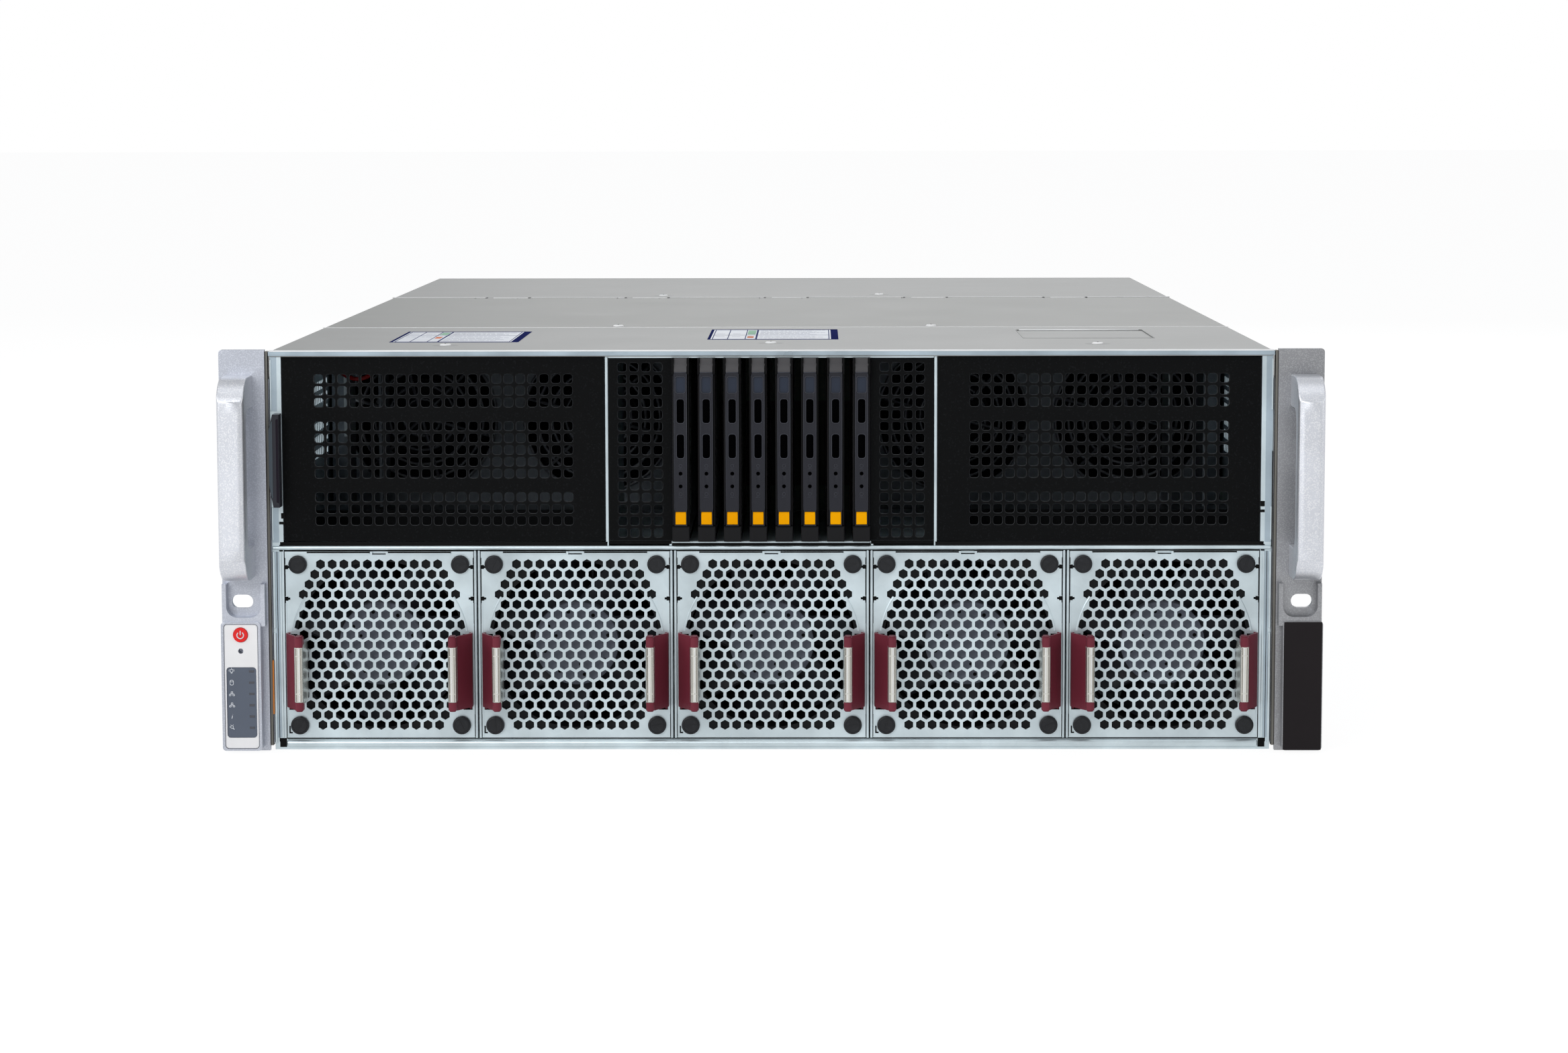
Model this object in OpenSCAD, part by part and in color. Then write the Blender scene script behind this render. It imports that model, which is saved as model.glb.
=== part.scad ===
// A 4U rack server for graphics cards. X runs across the front, Y from the rack plane to the rear, Z up.
// The origin is on the floor plane, midway between the sides, level with the rack posts' front face.

/* [Chassis] */
// Outer width over the side walls
chassis_w = 439; // [434:1:444]
// Depth from the rack plane to the rear wall
chassis_d = 737; // [720:1:800]
// Height of the closed chassis
chassis_h = 176.5; // [175:0.5:177.5]
// Thickness of the folded steel
sheet_t = 1.2; // [1:0.1:1.4]
// Thickness of the top covers
cover_t = 1; // [0.8:0.1:1.2]
// Height of the skirts that the covers turn down over the sides
skirt_h = 12; // [9:1:16]
// Width of the flanges beside the front openings
flange_w = 5; // [4:0.5:6]
// Clearance between pieces that slide past each other
slide_gap = 0.3; // [0.2:0.05:0.4]

/* [Rack ears] */
// Width over both ears, as the rack standard has it
ear_span = 482.6; // [480:0.2:483]
// Height of the ears
ear_h = 177; // [176:0.5:177.8]
// Thickness of the ear plates
ear_t = 3; // [2.5:0.5:4]
// Distance between the centres of the two rack slots
slot_span = 465.1; // [464:0.1:466]
// Height of the rack slots above the floor plane
slot_z = 66.3; // [65:0.1:68]
// End-to-end length of a rack slot
slot_l = 9.4; // [8:0.1:10]
// Width of a rack slot
slot_w = 6; // [5.5:0.1:6.5]
// Height of the housing at the foot of each ear
pod_h = 57; // [54:1:60]
// Depth of that housing in front of the ear plate
pod_d = 7; // [6:0.5:9]

/* [Handles] */
// Height of a handle, foot to foot
handle_h = 88.7; // [80:0.1:92]
// Width of a handle
handle_w = 11.8; // [10:0.1:13]
// How far a handle stands out from its ear
handle_d = 28; // [24:1:34]
// Thickness of the grip
grip_t = 8.5; // [7:0.5:10]
// Height of each foot of a handle
foot_h = 14; // [12:0.5:16]
// Height of a handle's lower end above the floor plane
handle_z = 77.2; // [76:0.1:82]

/* [Fan modules] */
// Number of fan modules across the front
fan_count = 5; // [5:1:5]
// Distance between neighbouring fan modules
fan_pitch = 86.3; // [85.6:0.1:86.3]
// Height of a fan module
module_h = 82.8; // [82.2:0.1:83.4]
// Depth of a fan module behind its front plate
module_d = 57; // [54:1:62]
// Width of the doubled sheet between two modules
divider_w = 2.7; // [2.4:0.1:3]
// Size of the square fan
fan_size = 80; // [79:0.5:80.5]
// Depth of the fan
fan_depth = 38; // [36:1:40]
// Radius of the duct through the fan
duct_r = 37; // [36:0.1:37.2]
// Radius of the fan's hub
hub_r = 18.5; // [16:0.5:20]
// Clearance between the blades and the duct
tip_gap = 1; // [0.8:0.1:1.5]
// Number of blades on each fan
blade_count = 7; // [5:1:9]
// Distance between neighbouring hexagonal holes
hex_pitch = 5.16; // [5.1:0.01:5.16]
// Width of a hexagonal hole across its flats
hex_af = 3.85; // [3.6:0.05:4]
// Distance between the rubber plugs of a fan
plug_span = 71.5; // [71:0.1:71.5]
// Diameter of a rubber plug's head
plug_d = 8; // [7:0.1:8.4]

/* [Fan latches] */
// Height of a latch leaf
latch_h = 32.8; // [28:0.2:34]
// Height of a latch's lower edge above the module's lower edge
latch_z = 12.9; // [12:0.1:14]
// How far the latch's grip stands out from the front plate
latch_reach = 16; // [13:0.5:18]
// Distance from the module's middle to a latch's grip
latch_grip_x = 33.6; // [32:0.1:35]
// Radius of the metal sleeve on a latch
sleeve_r = 1.85; // [1.6:0.05:2]
// Length of the metal sleeve on a latch
sleeve_l = 24.4; // [20:0.2:25]

/* [Mesh panels] */
// Width of a square hole in the mesh panels
mesh_hole = 4; // [3.6:0.05:4.2]
// Distance between neighbouring square holes
mesh_pitch = 5.2; // [5:0.01:5.25]
// Number of hole columns in each wide panel
mesh_columns = 22; // [18:1:24]

/* [Drives] */
// Number of drive bays
drive_count = 8; // [8:1:8]
// Distance between neighbouring drives
drive_pitch = 11.3; // [11.2:0.05:11.3]
// Width of a drive carrier
carrier_w = 7.6; // [7.5:0.05:7.8]
// Depth of a drive behind its carrier's front
drive_d = 112.75; // [110:0.25:114]
// Height of the rails below and above a drive
drive_rail_h = 2.25; // [2:0.05:2.5]
// Width of a carrier's lever
lever_w = 5.5; // [5.2:0.1:5.5]
// Thickness of a carrier's lever
lever_t = 3.7; // [3.2:0.1:4.2]
// Radius of the pin that a lever turns on
lever_pin_r = 0.8; // [0.6:0.1:1]
// Running clearance round a pin
pin_gap = 0.05; // [0.02:0.01:0.08]

/* [Inside] */
// Width of a power supply
psu_w = 73.5; // [72:0.5:74]
// Height of a power supply
psu_h = 40; // [39:0.5:40.5]
// Depth of a power supply
psu_d = 185; // [180:1:200]
// Number of graphics cards
card_count = 8; // [8:1:8]
// Distance between neighbouring graphics cards
card_pitch = 40.64; // [40.2:0.01:40.64]
// Thickness of a graphics card
card_w = 38; // [36:0.5:38.6]
// Length of a graphics card
card_l = 267; // [255:1:270]
// Clearance between a graphics card and the top covers
card_top_gap = 8.2; // [7:0.2:12]

/* [Hidden] */
$fn = 48;
SIDES = [-1, 1];
FANS = [1, 2, 3, 4, 5];
DRIVES = [1, 2, 3, 4, 5, 6, 7, 8];

// Chassis shell
half_w = chassis_w / 2;
wall_in = half_w - sheet_t;
opening_half_w = half_w - flange_w;
joggle_in = cover_t + slide_gap;
rim_half_w = half_w - joggle_in;
rim_z = chassis_h - cover_t - slide_gap;
joggle_z = chassis_h - skirt_h - slide_gap;
front_lip_h = 2.7;
upper_top_z = chassis_h - front_lip_h;

// Fan bays and the shelf above them
bay_floor_z = 4.9;
module_z = bay_floor_z + slide_gap;
module_mid_z = module_z + module_h / 2;
shelf_z = module_z + module_h + 0.9;
shelf_top_z = shelf_z + sheet_t;
shelf_d = 236;
bay_d = module_d + 6;
divider_sheet_t = 1;
module_w = fan_pitch - divider_w - 2 * slide_gap;
seat_gap = 0.05;
edge_eps = 0.01;

// Fan insides
plate_t = 1.2;
side_t = 1;
fan_y = plate_t + 0.1;
flange_t = 4;
duct_wall = 1.2;
rotor_y = fan_y + 4;
rotor_h = 29;
blade_h = 24;
blade_camber_r = 30;
blade_t = 1.4;
shaft_r = 2;
cup_t = 3;
hex_rows = 8;
hex_row_pitch = hex_pitch * sqrt(3) / 2;

// Latches
leaf_t = 0.8;
latch_pivot_y = 5.5;
latch_barrel_r = 0.65;
leaf_x = module_w / 2 - side_t - slide_gap - leaf_t / 2;
latch_slot_w = leaf_t + 3.2;
latch_clear_z = 0.5;

// Upper front
grille_z = shelf_top_z + 2.3;
grille_h = upper_top_z - grille_z - 0.2;
grille_t = 1;
grille_y = 0.3;
cage_wall_t = 1.2;
cage_half_w = 72.6;
cage_floor_z = grille_z - sheet_t;
strip_half_gap = drive_pitch * (drive_count - 1) / 2 + carrier_w / 2 + 0.4;
carrier_z = grille_z + 0.3;
carrier_h = upper_top_z - carrier_z - 0.6;
bezel_t = 6;
bezel_y = -1;
drive_rear_y = bezel_y + bezel_t - 1 + drive_d;
socket_d = 10;
socket_h = 40;
socket_z = 12;
cage_d = drive_rear_y + slide_gap + socket_d + 8;
lever_front_y = bezel_y - slide_gap - lever_t;
lever_pivot_y = lever_front_y + lever_t / 2 + 0.2;
lever_pivot_z = carrier_z + carrier_h - 3.2;
lever_z = carrier_z + 7;
ear_wall_t = (carrier_w - lever_w) / 2 - 0.2;
button_z = lever_z + 0.7;
button_h = 5.4;
button_gap = 0.15;
button_w = 4.6;

// Ears
ear_half_span = ear_span / 2;
ear_in = half_w + 1.8;
ear_mid = (ear_half_span + ear_in) / 2;
slot_x = slot_span / 2;
handle_x = slot_x + 0.05;
pod_wall = 1.8;
pod_z = 1;
pod_w = 17.4;
lamp_w = 13.1;
lamp_h = 31.3;
lamp_z = 22.4;
power_x = -slot_x - 0.1;
power_z = pod_z + pod_h - 5.6;
power_r = 3.15;
power_gap = 0.1;
pod_face_y = -ear_t - pod_d;

// Inside
fan_wall_y = 190;
inner_fan_margin = 4.1;
board_y = 246;
board_d = 196;
board_z = 8;
board_t = 1.6;
board_margin = 8;
rear_shelf_z = psu_h + 6;
rear_in_y = chassis_d - sheet_t;
card_board_z = rear_shelf_z + sheet_t + 4;
card_z = card_board_z + board_t + 0.2;
card_lift = 8;
card_h = rim_z - card_top_gap - card_z - card_lift;
card_row_x = -wall_in + 8;

function fan_x(i) = (i - (fan_count + 1) / 2) * fan_pitch;
function drive_x(i) = (i - (drive_count + 1) / 2) * drive_pitch;
function hex_in_row(a) = a >= 5 ? 19 - a : a >= 3 ? 17 - a : 15 - a % 2;
function card_x(i) = card_row_x + card_w / 2 + i * card_pitch;

// A box given by its low corner and its size, on either side of the middle plane
module side_box(side, corner, size) {
    mirror([side < 0 ? 1 : 0, 0, 0])
        translate(corner)
            cube(size);
}

// Extrudes an outline drawn in X and Z along Y, from y over depth
module along_y(y, depth) {
    translate([0, y + depth, 0])
        rotate([90, 0, 0])
            linear_extrude(height = depth)
                children();
}

// Extrudes an outline drawn in Y and Z along X, from x over width
module along_x(x, width) {
    translate([x, 0, 0])
        rotate([90, 0, 90])
            linear_extrude(height = width)
                children();
}

// A rectangle with round corners
module soft_rect(w, h, r) {
    union() {
        square([w - 2 * r, h], center = true);
        square([w, h - 2 * r], center = true);
        for (x = SIDES, z = SIDES)
            translate([x * (w / 2 - r), z * (h / 2 - r)])
                circle(r);
    }
}

// A slot with round ends, long along the first axis
module round_slot(length, width) {
    union() {
        square([length - width, width], center = true);
        for (x = SIDES)
            translate([x * (length - width) / 2, 0])
                circle(width / 2);
    }
}

// ---- Chassis ----

module side_wall(side) {
    side_box(side, [wall_in, 0, 0], [sheet_t, chassis_d, joggle_z]);
    side_box(side, [rim_half_w - sheet_t, 0, joggle_z - sheet_t], [joggle_in + sheet_t, chassis_d, sheet_t]);
    side_box(side, [rim_half_w - sheet_t, 0, joggle_z - sheet_t], [sheet_t, chassis_d, rim_z - joggle_z + sheet_t]);
}

module front_flange(side) {
    side_box(side, [opening_half_w, 0, 0], [flange_w - 1, sheet_t, joggle_z]);
    side_box(side, [opening_half_w, 0, 132.5], [flange_w, sheet_t, joggle_z - 132.5]);
    side_box(side, [opening_half_w, 0, 0], [flange_w, sheet_t, shelf_z]);
    side_box(side, [opening_half_w, 0, 0], [rim_half_w - opening_half_w, sheet_t, upper_top_z]);
}

// The doubled sheet between two fan bays, with a window for each latch
module bay_divider(x) {
    difference() {
        translate([x - divider_w / 2, 0, sheet_t / 2])
            cube([divider_w, bay_d, shelf_z]);
        translate([x - divider_w / 2 + divider_sheet_t, -1, sheet_t])
            cube([divider_w - 2 * divider_sheet_t, bay_d + 2, shelf_z - sheet_t]);
        translate([x - divider_w, 8, module_z + latch_z + 8])
            cube([2 * divider_w, 8, 14]);
    }
}

module side_vents(side) {
    for (column = [0:8], row = [0:5])
        side_box(side, [wall_in - 1, 128 + column * 6.4, 116 + row * 6.4], [sheet_t + 2, 4.2, 4.2]);
}

module rear_cutouts() {
    for (i = [0:3])
        translate([psu_x(i) - psu_w / 2 - 0.3, rear_in_y - 1, 1.4])
            cube([psu_w + 0.6, sheet_t + 2, psu_h + 1.4]);
    for (i = [0:card_count - 1])
        translate([card_x(i) - 18.2, rear_in_y - 1, rear_shelf_z + 8])
            cube([36.4, sheet_t + 2, 100]);
    translate([96, rear_in_y - 1, 6])
        cube([112, sheet_t + 2, 34]);
    for (column = [0:9], row = [0:11])
        translate([card_x(card_count - 1) + 32 + column * 6.4, rear_in_y - 1, rear_shelf_z + 20 + row * 6.4])
            cube([4.4, sheet_t + 2, 4.4]);
}

function psu_x(i) = -wall_in + 3 + psu_w / 2 + i * (psu_w + 3);

module chassis_tub() {
    color("#c9d4d8")
    difference() {
        union() {
            translate([-half_w, 0, 0])
                cube([chassis_w, chassis_d, sheet_t]);
            for (side = SIDES) {
                side_wall(side);
                front_flange(side);
            }
            // Front lip and the raised floor of the fan bays
            translate([-half_w, 0, 0])
                cube([chassis_w, sheet_t, bay_floor_z]);
            translate([-half_w + 0.1, 0, bay_floor_z - sheet_t])
                cube([chassis_w - 0.2, bay_d, sheet_t]);
            translate([-half_w + 0.1, bay_d - sheet_t, 0])
                cube([chassis_w - 0.2, sheet_t, bay_floor_z]);
            // Shelf over the fan bays, and the shelf over the power supplies
            translate([-half_w + 0.1, 0, shelf_z])
                cube([chassis_w - 0.2, shelf_d, sheet_t]);
            translate([-half_w + 0.1, chassis_d - card_l - 26, rear_shelf_z])
                cube([chassis_w - 0.2, card_l + 26, sheet_t]);
            for (i = [1:fan_count - 1])
                bay_divider((fan_x(i) + fan_x(i + 1)) / 2);
            for (side = SIDES)
                side_box(side, [opening_half_w, 0, 0], [sheet_t, bay_d, shelf_z + sheet_t / 2]);
            // Rear wall
            translate([-half_w + joggle_in, rear_in_y, 0])
                cube([chassis_w - 2 * joggle_in, sheet_t, rim_z]);
        }
        for (side = SIDES)
            side_vents(side);
        rear_cutouts();
        id_card_slot();
    }
}

// ---- Covers ----

tab_w = 23.4;
tab_l = 9;
tab_pitch = 80;
seam_gap = 0.4;
front_seam_y = 178;
rear_seam_y = 478;
lip_r = 1.4;
lip_t = 0.95;

// Cross-section of a cover, across the chassis
module cover_section() {
    bend_r = 1.6;
    difference() {
        union() {
            translate([-half_w, chassis_h - skirt_h])
                square([chassis_w, skirt_h - bend_r]);
            translate([-half_w + bend_r, chassis_h - skirt_h])
                square([chassis_w - 2 * bend_r, skirt_h]);
            for (x = SIDES)
                translate([x * (half_w - bend_r), chassis_h - bend_r])
                    circle(bend_r);
        }
        translate([-half_w + cover_t, chassis_h - skirt_h - 1])
            square([chassis_w - 2 * cover_t, skirt_h + 1 - cover_t]);
    }
}

module cover_tabs(y, grow) {
    for (i = [-2:2])
        translate([i * tab_pitch - tab_w / 2 - grow, y - tab_l - grow, chassis_h - cover_t - grow])
            cube([tab_w + 2 * grow, tab_l + grow + 1, cover_t + 2 * grow]);
}

module front_cover() {
    color("#b6babb")
    difference() {
        union() {
            along_y(0, front_seam_y)
                cover_section();
            // Rounded front bend, turned down over the flanges
            along_x(-half_w + 1, chassis_w - 2)
                difference() {
                    union() {
                        translate([lip_r - lip_t - seat_gap, chassis_h - lip_r])
                            circle(lip_r);
                        translate([-lip_t - seat_gap, upper_top_z])
                            square([lip_t, front_lip_h - lip_r]);
                    }
                    translate([-seat_gap, upper_top_z - 1])
                        square([2 * lip_r, front_lip_h + 1 - cover_t]);
                }
        }
        // Shallow pressed field
        translate([115, 84, chassis_h - 0.4])
            cube([60, 68, 1]);
    }
}

module middle_cover() {
    color("#b6babb")
    difference() {
        along_y(front_seam_y + seam_gap, rear_seam_y - front_seam_y - seam_gap)
            cover_section();
        cover_tabs(rear_seam_y, seam_gap);
    }
}

module rear_cover() {
    color("#b6babb")
    union() {
        along_y(rear_seam_y + seam_gap, chassis_d - rear_seam_y - seam_gap)
            cover_section();
        cover_tabs(rear_seam_y + seam_gap, 0);
    }
}

// ---- Rack ears ----

// Outline of an ear plate, in X and Z, for the right-hand side
module ear_outline(side) {
    corner_r = 1.5;
    mirror([side < 0 ? 1 : 0, 0])
        union() {
            translate([ear_in, 0])
                square([ear_half_span - ear_in - corner_r, ear_h]);
            translate([ear_in, corner_r])
                square([ear_half_span - ear_in, ear_h - 2 * corner_r]);
            for (z = [corner_r, ear_h - corner_r])
                translate([ear_half_span - corner_r, z])
                    circle(corner_r);
        }
}

// Raised cup round the rack slot, open at the top
module slot_cup() {
    cup_w = ear_half_span - ear_in - 1.2;
    cup_r = 5;
    cup_h = 18.6;
    difference() {
        translate([ear_mid - cup_w / 2, pod_z + pod_h - 2])
            square([cup_w, cup_h]);
        translate([ear_mid, pod_z + pod_h + pod_wall + cup_h / 2])
            soft_rect(cup_w - 2 * pod_wall, cup_h, cup_r);
    }
}

module ear_body(side) {
    leg_d = 33;
    difference() {
        union() {
            along_y(-ear_t, ear_t)
                ear_outline(side);
            // Side leg that screws to the chassis wall
            side_box(side, [half_w + 0.2, -ear_t / 2, 3], [ear_in - half_w + 0.3, leg_d, ear_h - 16]);
            mirror([side < 0 ? 1 : 0, 0, 0])
                along_y(-ear_t - pod_d + 1, pod_d - 1 + edge_eps)
                    slot_cup();
            mirror([side < 0 ? 1 : 0, 0, 0])
                along_y(-ear_t - pod_d, pod_d + edge_eps)
                    translate([slot_x, pod_z + pod_h / 2])
                        soft_rect(pod_w, pod_h, 1.5);
        }
        mirror([side < 0 ? 1 : 0, 0, 0])
            along_y(-ear_t - 1, ear_t + 2)
                translate([slot_x, slot_z])
                    round_slot(slot_l, slot_w);
    }
}

label_d = 0.4;

module label_recess(side) {
    mirror([side < 0 ? 1 : 0, 0, 0])
        along_y(pod_face_y - 1, 1 + label_d)
            translate([slot_x, pod_z + pod_h / 2])
                soft_rect(pod_w - 2.8, pod_h - 2.2, 1.2);
}

module rack_ear_left() {
    color("#b9bdc0")
    difference() {
        ear_body(-1);
        label_recess(-1);
        // Bore and pocket of the power button
        along_y(pod_face_y - 1, pod_d)
            translate([power_x, power_z])
                circle(power_r + power_gap);
        along_y(pod_face_y + 2.2, pod_d - 2.2)
            translate([power_x, power_z])
                circle(power_r + 1.2);
        // Reset pinhole
        along_y(pod_face_y - 1, pod_d - 1)
            translate([power_x, power_z - 7.2])
                circle(1.15);
        // Window of the status lamps
        along_y(pod_face_y - 1, 2)
            translate([-slot_x, lamp_z])
                soft_rect(lamp_w, lamp_h, 1.5);
    }
}

module rack_ear_right() {
    color("#b9bdc0")
    difference() {
        ear_body(1);
        label_recess(1);
    }
}

module power_button() {
    color("#e03030")
    union() {
        along_y(pod_face_y - 0.5, 4.2)
            translate([power_x, power_z])
                circle(power_r);
        along_y(pod_face_y + 2.4, 1)
            translate([power_x, power_z])
                circle(power_r + 0.8);
    }
}

// Side view of a handle, in Y and Z
module handle_profile() {
    outer_r = 15;
    inner_r = outer_r - grip_t + 1;
    y_front = -ear_t - handle_d;
    z_top = handle_z + handle_h;
    difference() {
        union() {
            translate([y_front + outer_r, handle_z])
                square([handle_d - outer_r, handle_h]);
            translate([y_front, handle_z + outer_r])
                square([handle_d, handle_h - 2 * outer_r]);
            for (z = [handle_z + outer_r, z_top - outer_r])
                translate([y_front + outer_r, z])
                    circle(outer_r);
        }
        // Finger gap
        translate([y_front + grip_t + inner_r, handle_z + foot_h])
            square([handle_d, handle_h - 2 * foot_h]);
        translate([y_front + grip_t, handle_z + foot_h + inner_r])
            square([handle_d, handle_h - 2 * foot_h - 2 * inner_r]);
        for (z = [handle_z + foot_h + inner_r, z_top - foot_h - inner_r])
            translate([y_front + grip_t + inner_r, z])
                circle(inner_r);
    }
}

// Plan view of a handle, in X and Y, with its front edges rounded
module handle_plan() {
    edge_r = 3;
    y_front = -ear_t - handle_d;
    union() {
        translate([-handle_w / 2, y_front + edge_r])
            square([handle_w, handle_d - edge_r]);
        translate([-handle_w / 2 + edge_r, y_front])
            square([handle_w - 2 * edge_r, handle_d]);
        for (x = SIDES)
            translate([x * (handle_w / 2 - edge_r), y_front + edge_r])
                circle(edge_r);
    }
}

module handle(side) {
    color("#b9bdc0")
    intersection() {
        along_x(side * handle_x - handle_w / 2, handle_w)
            handle_profile();
        translate([side * handle_x, 0, handle_z - 1])
            linear_extrude(height = handle_h + 2)
                handle_plan();
    }
}

// ---- Identity card that pulls out of the left flange ----

card_t = 2;
card_slot_gap = 0.3;
id_x = -half_w + flange_w / 2 + 0.1;
id_card_h = 40.8;
id_z1 = chassis_h - 27.5;
id_z0 = id_z1 - id_card_h;

module id_card_slot() {
    translate([id_x - card_t / 2 - card_slot_gap, -1, id_z0 + 2 - card_slot_gap])
        cube([card_t + 2 * card_slot_gap, sheet_t + 2, id_z1 - id_z0 - 4 + 2 * card_slot_gap]);
}

module id_card() {
    color("#1a1a1d")
    union() {
        // Grip with slanted ends on its outer side
        translate([0, -8, 0])
            rotate([-90, 0, 0])
                linear_extrude(height = 7.8)
                    polygon([
                        [id_x + 2.2, -id_z0], [id_x + 2.2, -id_z1], [id_x - 0.6, -id_z1],
                        [id_x - 2.2, -id_z1 + 6], [id_x - 2.2, -id_z0 - 9], [id_x - 0.6, -id_z0]
                    ]);
        translate([id_x - card_t / 2, -1, id_z0 + 2])
            cube([card_t, 62, id_z1 - id_z0 - 4]);
    }
}

// ---- Mesh panels ----

// Rows fill the height, leaving out the ones that skip names
module mesh_holes(columns, x0, rows, z_top, skip) {
    for (column = [0:columns - 1], row = [0:rows - 1])
        if (len([for (s = skip) if (s == row) s]) == 0)
            translate([x0 + column * mesh_pitch, z_top - row * mesh_pitch])
                square(mesh_hole, center = true);
}

grille_x0 = cage_half_w + 0.2;
grille_w = opening_half_w - 0.2 - grille_x0;
grille_rows = floor((grille_h - 12) / mesh_pitch);

module wide_panel(side) {
    first_x = grille_x0 + grille_w / 2 - (mesh_columns - 1) * mesh_pitch / 2;
    mirror([side < 0 ? 1 : 0, 0, 0])
        union() {
            along_y(grille_y, grille_t)
                difference() {
                    translate([grille_x0, grille_z])
                        square([grille_w, grille_h]);
                    mesh_holes(mesh_columns, first_x, grille_rows, grille_z + grille_h - 9.6, [3, 9]);
                }
            // Turned-back edges
            translate([grille_x0, grille_y, grille_z])
                cube([grille_w, 12, grille_t]);
            translate([grille_x0, grille_y, grille_z + grille_h - grille_t])
                cube([grille_w, 12, grille_t]);
            translate([grille_x0, grille_y, grille_z])
                cube([grille_t, 12, grille_h]);
            translate([grille_x0 + grille_w - grille_t, grille_y, grille_z])
                cube([grille_t, 12, grille_h]);
        }
}

module grille_panels() {
    color("#18191b")
    for (side = SIDES)
        wide_panel(side);
}

// ---- Drive cage and drives ----

module cage_strip(side) {
    strip_w = cage_half_w - cage_wall_t - strip_half_gap;
    columns = 4;
    rows = grille_rows + 2;
    mirror([side < 0 ? 1 : 0, 0, 0])
        along_y(grille_y, grille_t)
            difference() {
                translate([strip_half_gap, cage_floor_z])
                    square([strip_w + 0.1, upper_top_z - 0.3 - cage_floor_z]);
                mesh_holes(columns, strip_half_gap + strip_w / 2 - (columns - 1) * mesh_pitch / 2,
                           rows, grille_z + grille_h - 4.6, []);
            }
}

module drive_cage() {
    cage_top_t = 0.6;
    cage_h = upper_top_z + 0.2 + cage_top_t - shelf_top_z;
    color("#c3cdd1")
    union() {
        for (side = SIDES) {
            side_box(side, [cage_half_w - cage_wall_t, 0, shelf_top_z], [cage_wall_t, cage_d, cage_h]);
            side_box(side, [strip_half_gap, grille_y, shelf_top_z], [grille_t, cage_d - grille_y, cage_h]);
            cage_strip(side);
        }
        translate([-cage_half_w + 0.1, 0.3, cage_floor_z])
            cube([2 * cage_half_w - 0.2, cage_d - 0.3, sheet_t]);
        translate([-cage_half_w + 0.1, 0.3, upper_top_z + 0.2])
            cube([2 * cage_half_w - 0.2, cage_d - 0.3, cage_top_t]);
        // Backplane with a socket for each drive
        translate([-strip_half_gap - 0.1, drive_rear_y + slide_gap + socket_d - 0.1, shelf_top_z + 1])
            cube([2 * strip_half_gap + 0.2, board_t, cage_h - 2]);
        for (i = DRIVES)
            translate([drive_x(i) - 2.6, drive_rear_y + slide_gap, carrier_z + socket_z])
                cube([5.2, socket_d, socket_h]);
    }
}

module drive_carrier(i) {
    pocket_d = 2.2;
    color("#232326")
    translate([drive_x(i), 0, 0])
        difference() {
            union() {
                translate([-carrier_w / 2, bezel_y, carrier_z])
                    cube([carrier_w, bezel_t, carrier_h]);
                // Foot of the bezel, below the lever
                translate([-carrier_w / 2, lever_front_y + 0.4, carrier_z])
                    cube([carrier_w, lever_t, lever_z - carrier_z - 0.4]);
                // Cheeks that hold the lever's pin
                for (side = SIDES)
                    side_box(side, [carrier_w / 2 - ear_wall_t, lever_front_y + 0.3, lever_pivot_z - 4],
                             [ear_wall_t, lever_t + 1, 7.2]);
                translate([-carrier_w / 2 + 0.05, drive_rear_y - drive_d, carrier_z + drive_rail_h])
                    cube([carrier_w - 0.1, drive_d, carrier_h - 2 * drive_rail_h]);
                // Rails along the drive's lower and upper edges
                for (z = [carrier_z, carrier_z + carrier_h - drive_rail_h - 0.1])
                    translate([-carrier_w / 2, drive_rear_y - drive_d, z])
                        cube([carrier_w, drive_d - 20, drive_rail_h + 0.1]);
            }
            // Room for the lever's head to turn in
            translate([-lever_w / 2 - 0.2, bezel_y - 1, lever_pivot_z - 2.5])
                cube([lever_w + 0.4, pocket_d + 1, 9]);
            along_x(-carrier_w, 2 * carrier_w)
                translate([lever_pivot_y, lever_pivot_z])
                    circle(lever_pin_r + pin_gap);
        }
}

// Side view of a lever, in Y and Z
module lever_profile() {
    top_z = lever_pivot_z + 3.1;
    polygon([
        [lever_front_y, lever_z], [lever_front_y + lever_t, lever_z],
        [lever_front_y + lever_t, lever_pivot_z], [lever_front_y + lever_t - 0.3, top_z],
        [lever_front_y + lever_t - 1.2, top_z], [lever_front_y, lever_pivot_z - 3]
    ]);
}

module drive_lever(i) {
    color("#2f3036")
    translate([drive_x(i), 0, 0])
        difference() {
            union() {
                along_x(-lever_w / 2, lever_w)
                    lever_profile();
                along_x(-carrier_w / 2, carrier_w)
                    translate([lever_pivot_y, lever_pivot_z])
                        circle(lever_pin_r);
            }
            // Two finger slots, a window, two lamp holes and the button's seat
            for (z = [19.9, 35.3])
                along_y(lever_front_y - 1, lever_t + 2)
                    translate([0, lever_pivot_z - z])
                        rotate(90)
                            round_slot(10.4, 2.9);
            along_y(lever_front_y - 1, 1.8)
                translate([0, lever_pivot_z - 8.4])
                    soft_rect(4.2, 7, 0.8);
            for (z = [23, 17.4])
                along_y(lever_front_y - 1, 3)
                    translate([0, lever_z + z])
                        circle(0.85);
            translate([-button_w / 2 - button_gap, lever_front_y - 1, button_z - button_gap])
                cube([button_w + 2 * button_gap, lever_t - 0.2, button_h + 2 * button_gap]);
        }
}

module drive_button(i) {
    color("#ff9d0a")
    translate([drive_x(i), 0, 0])
        along_x(-button_w / 2, button_w)
            polygon([
                [lever_front_y - 0.3, button_z], [lever_front_y + 1.2, button_z],
                [lever_front_y + 1.2, button_z + button_h], [lever_front_y + 0.3, button_z + button_h],
                [lever_front_y - 0.3, button_z + 3]
            ]);
}

// ---- Fan modules ----

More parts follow.
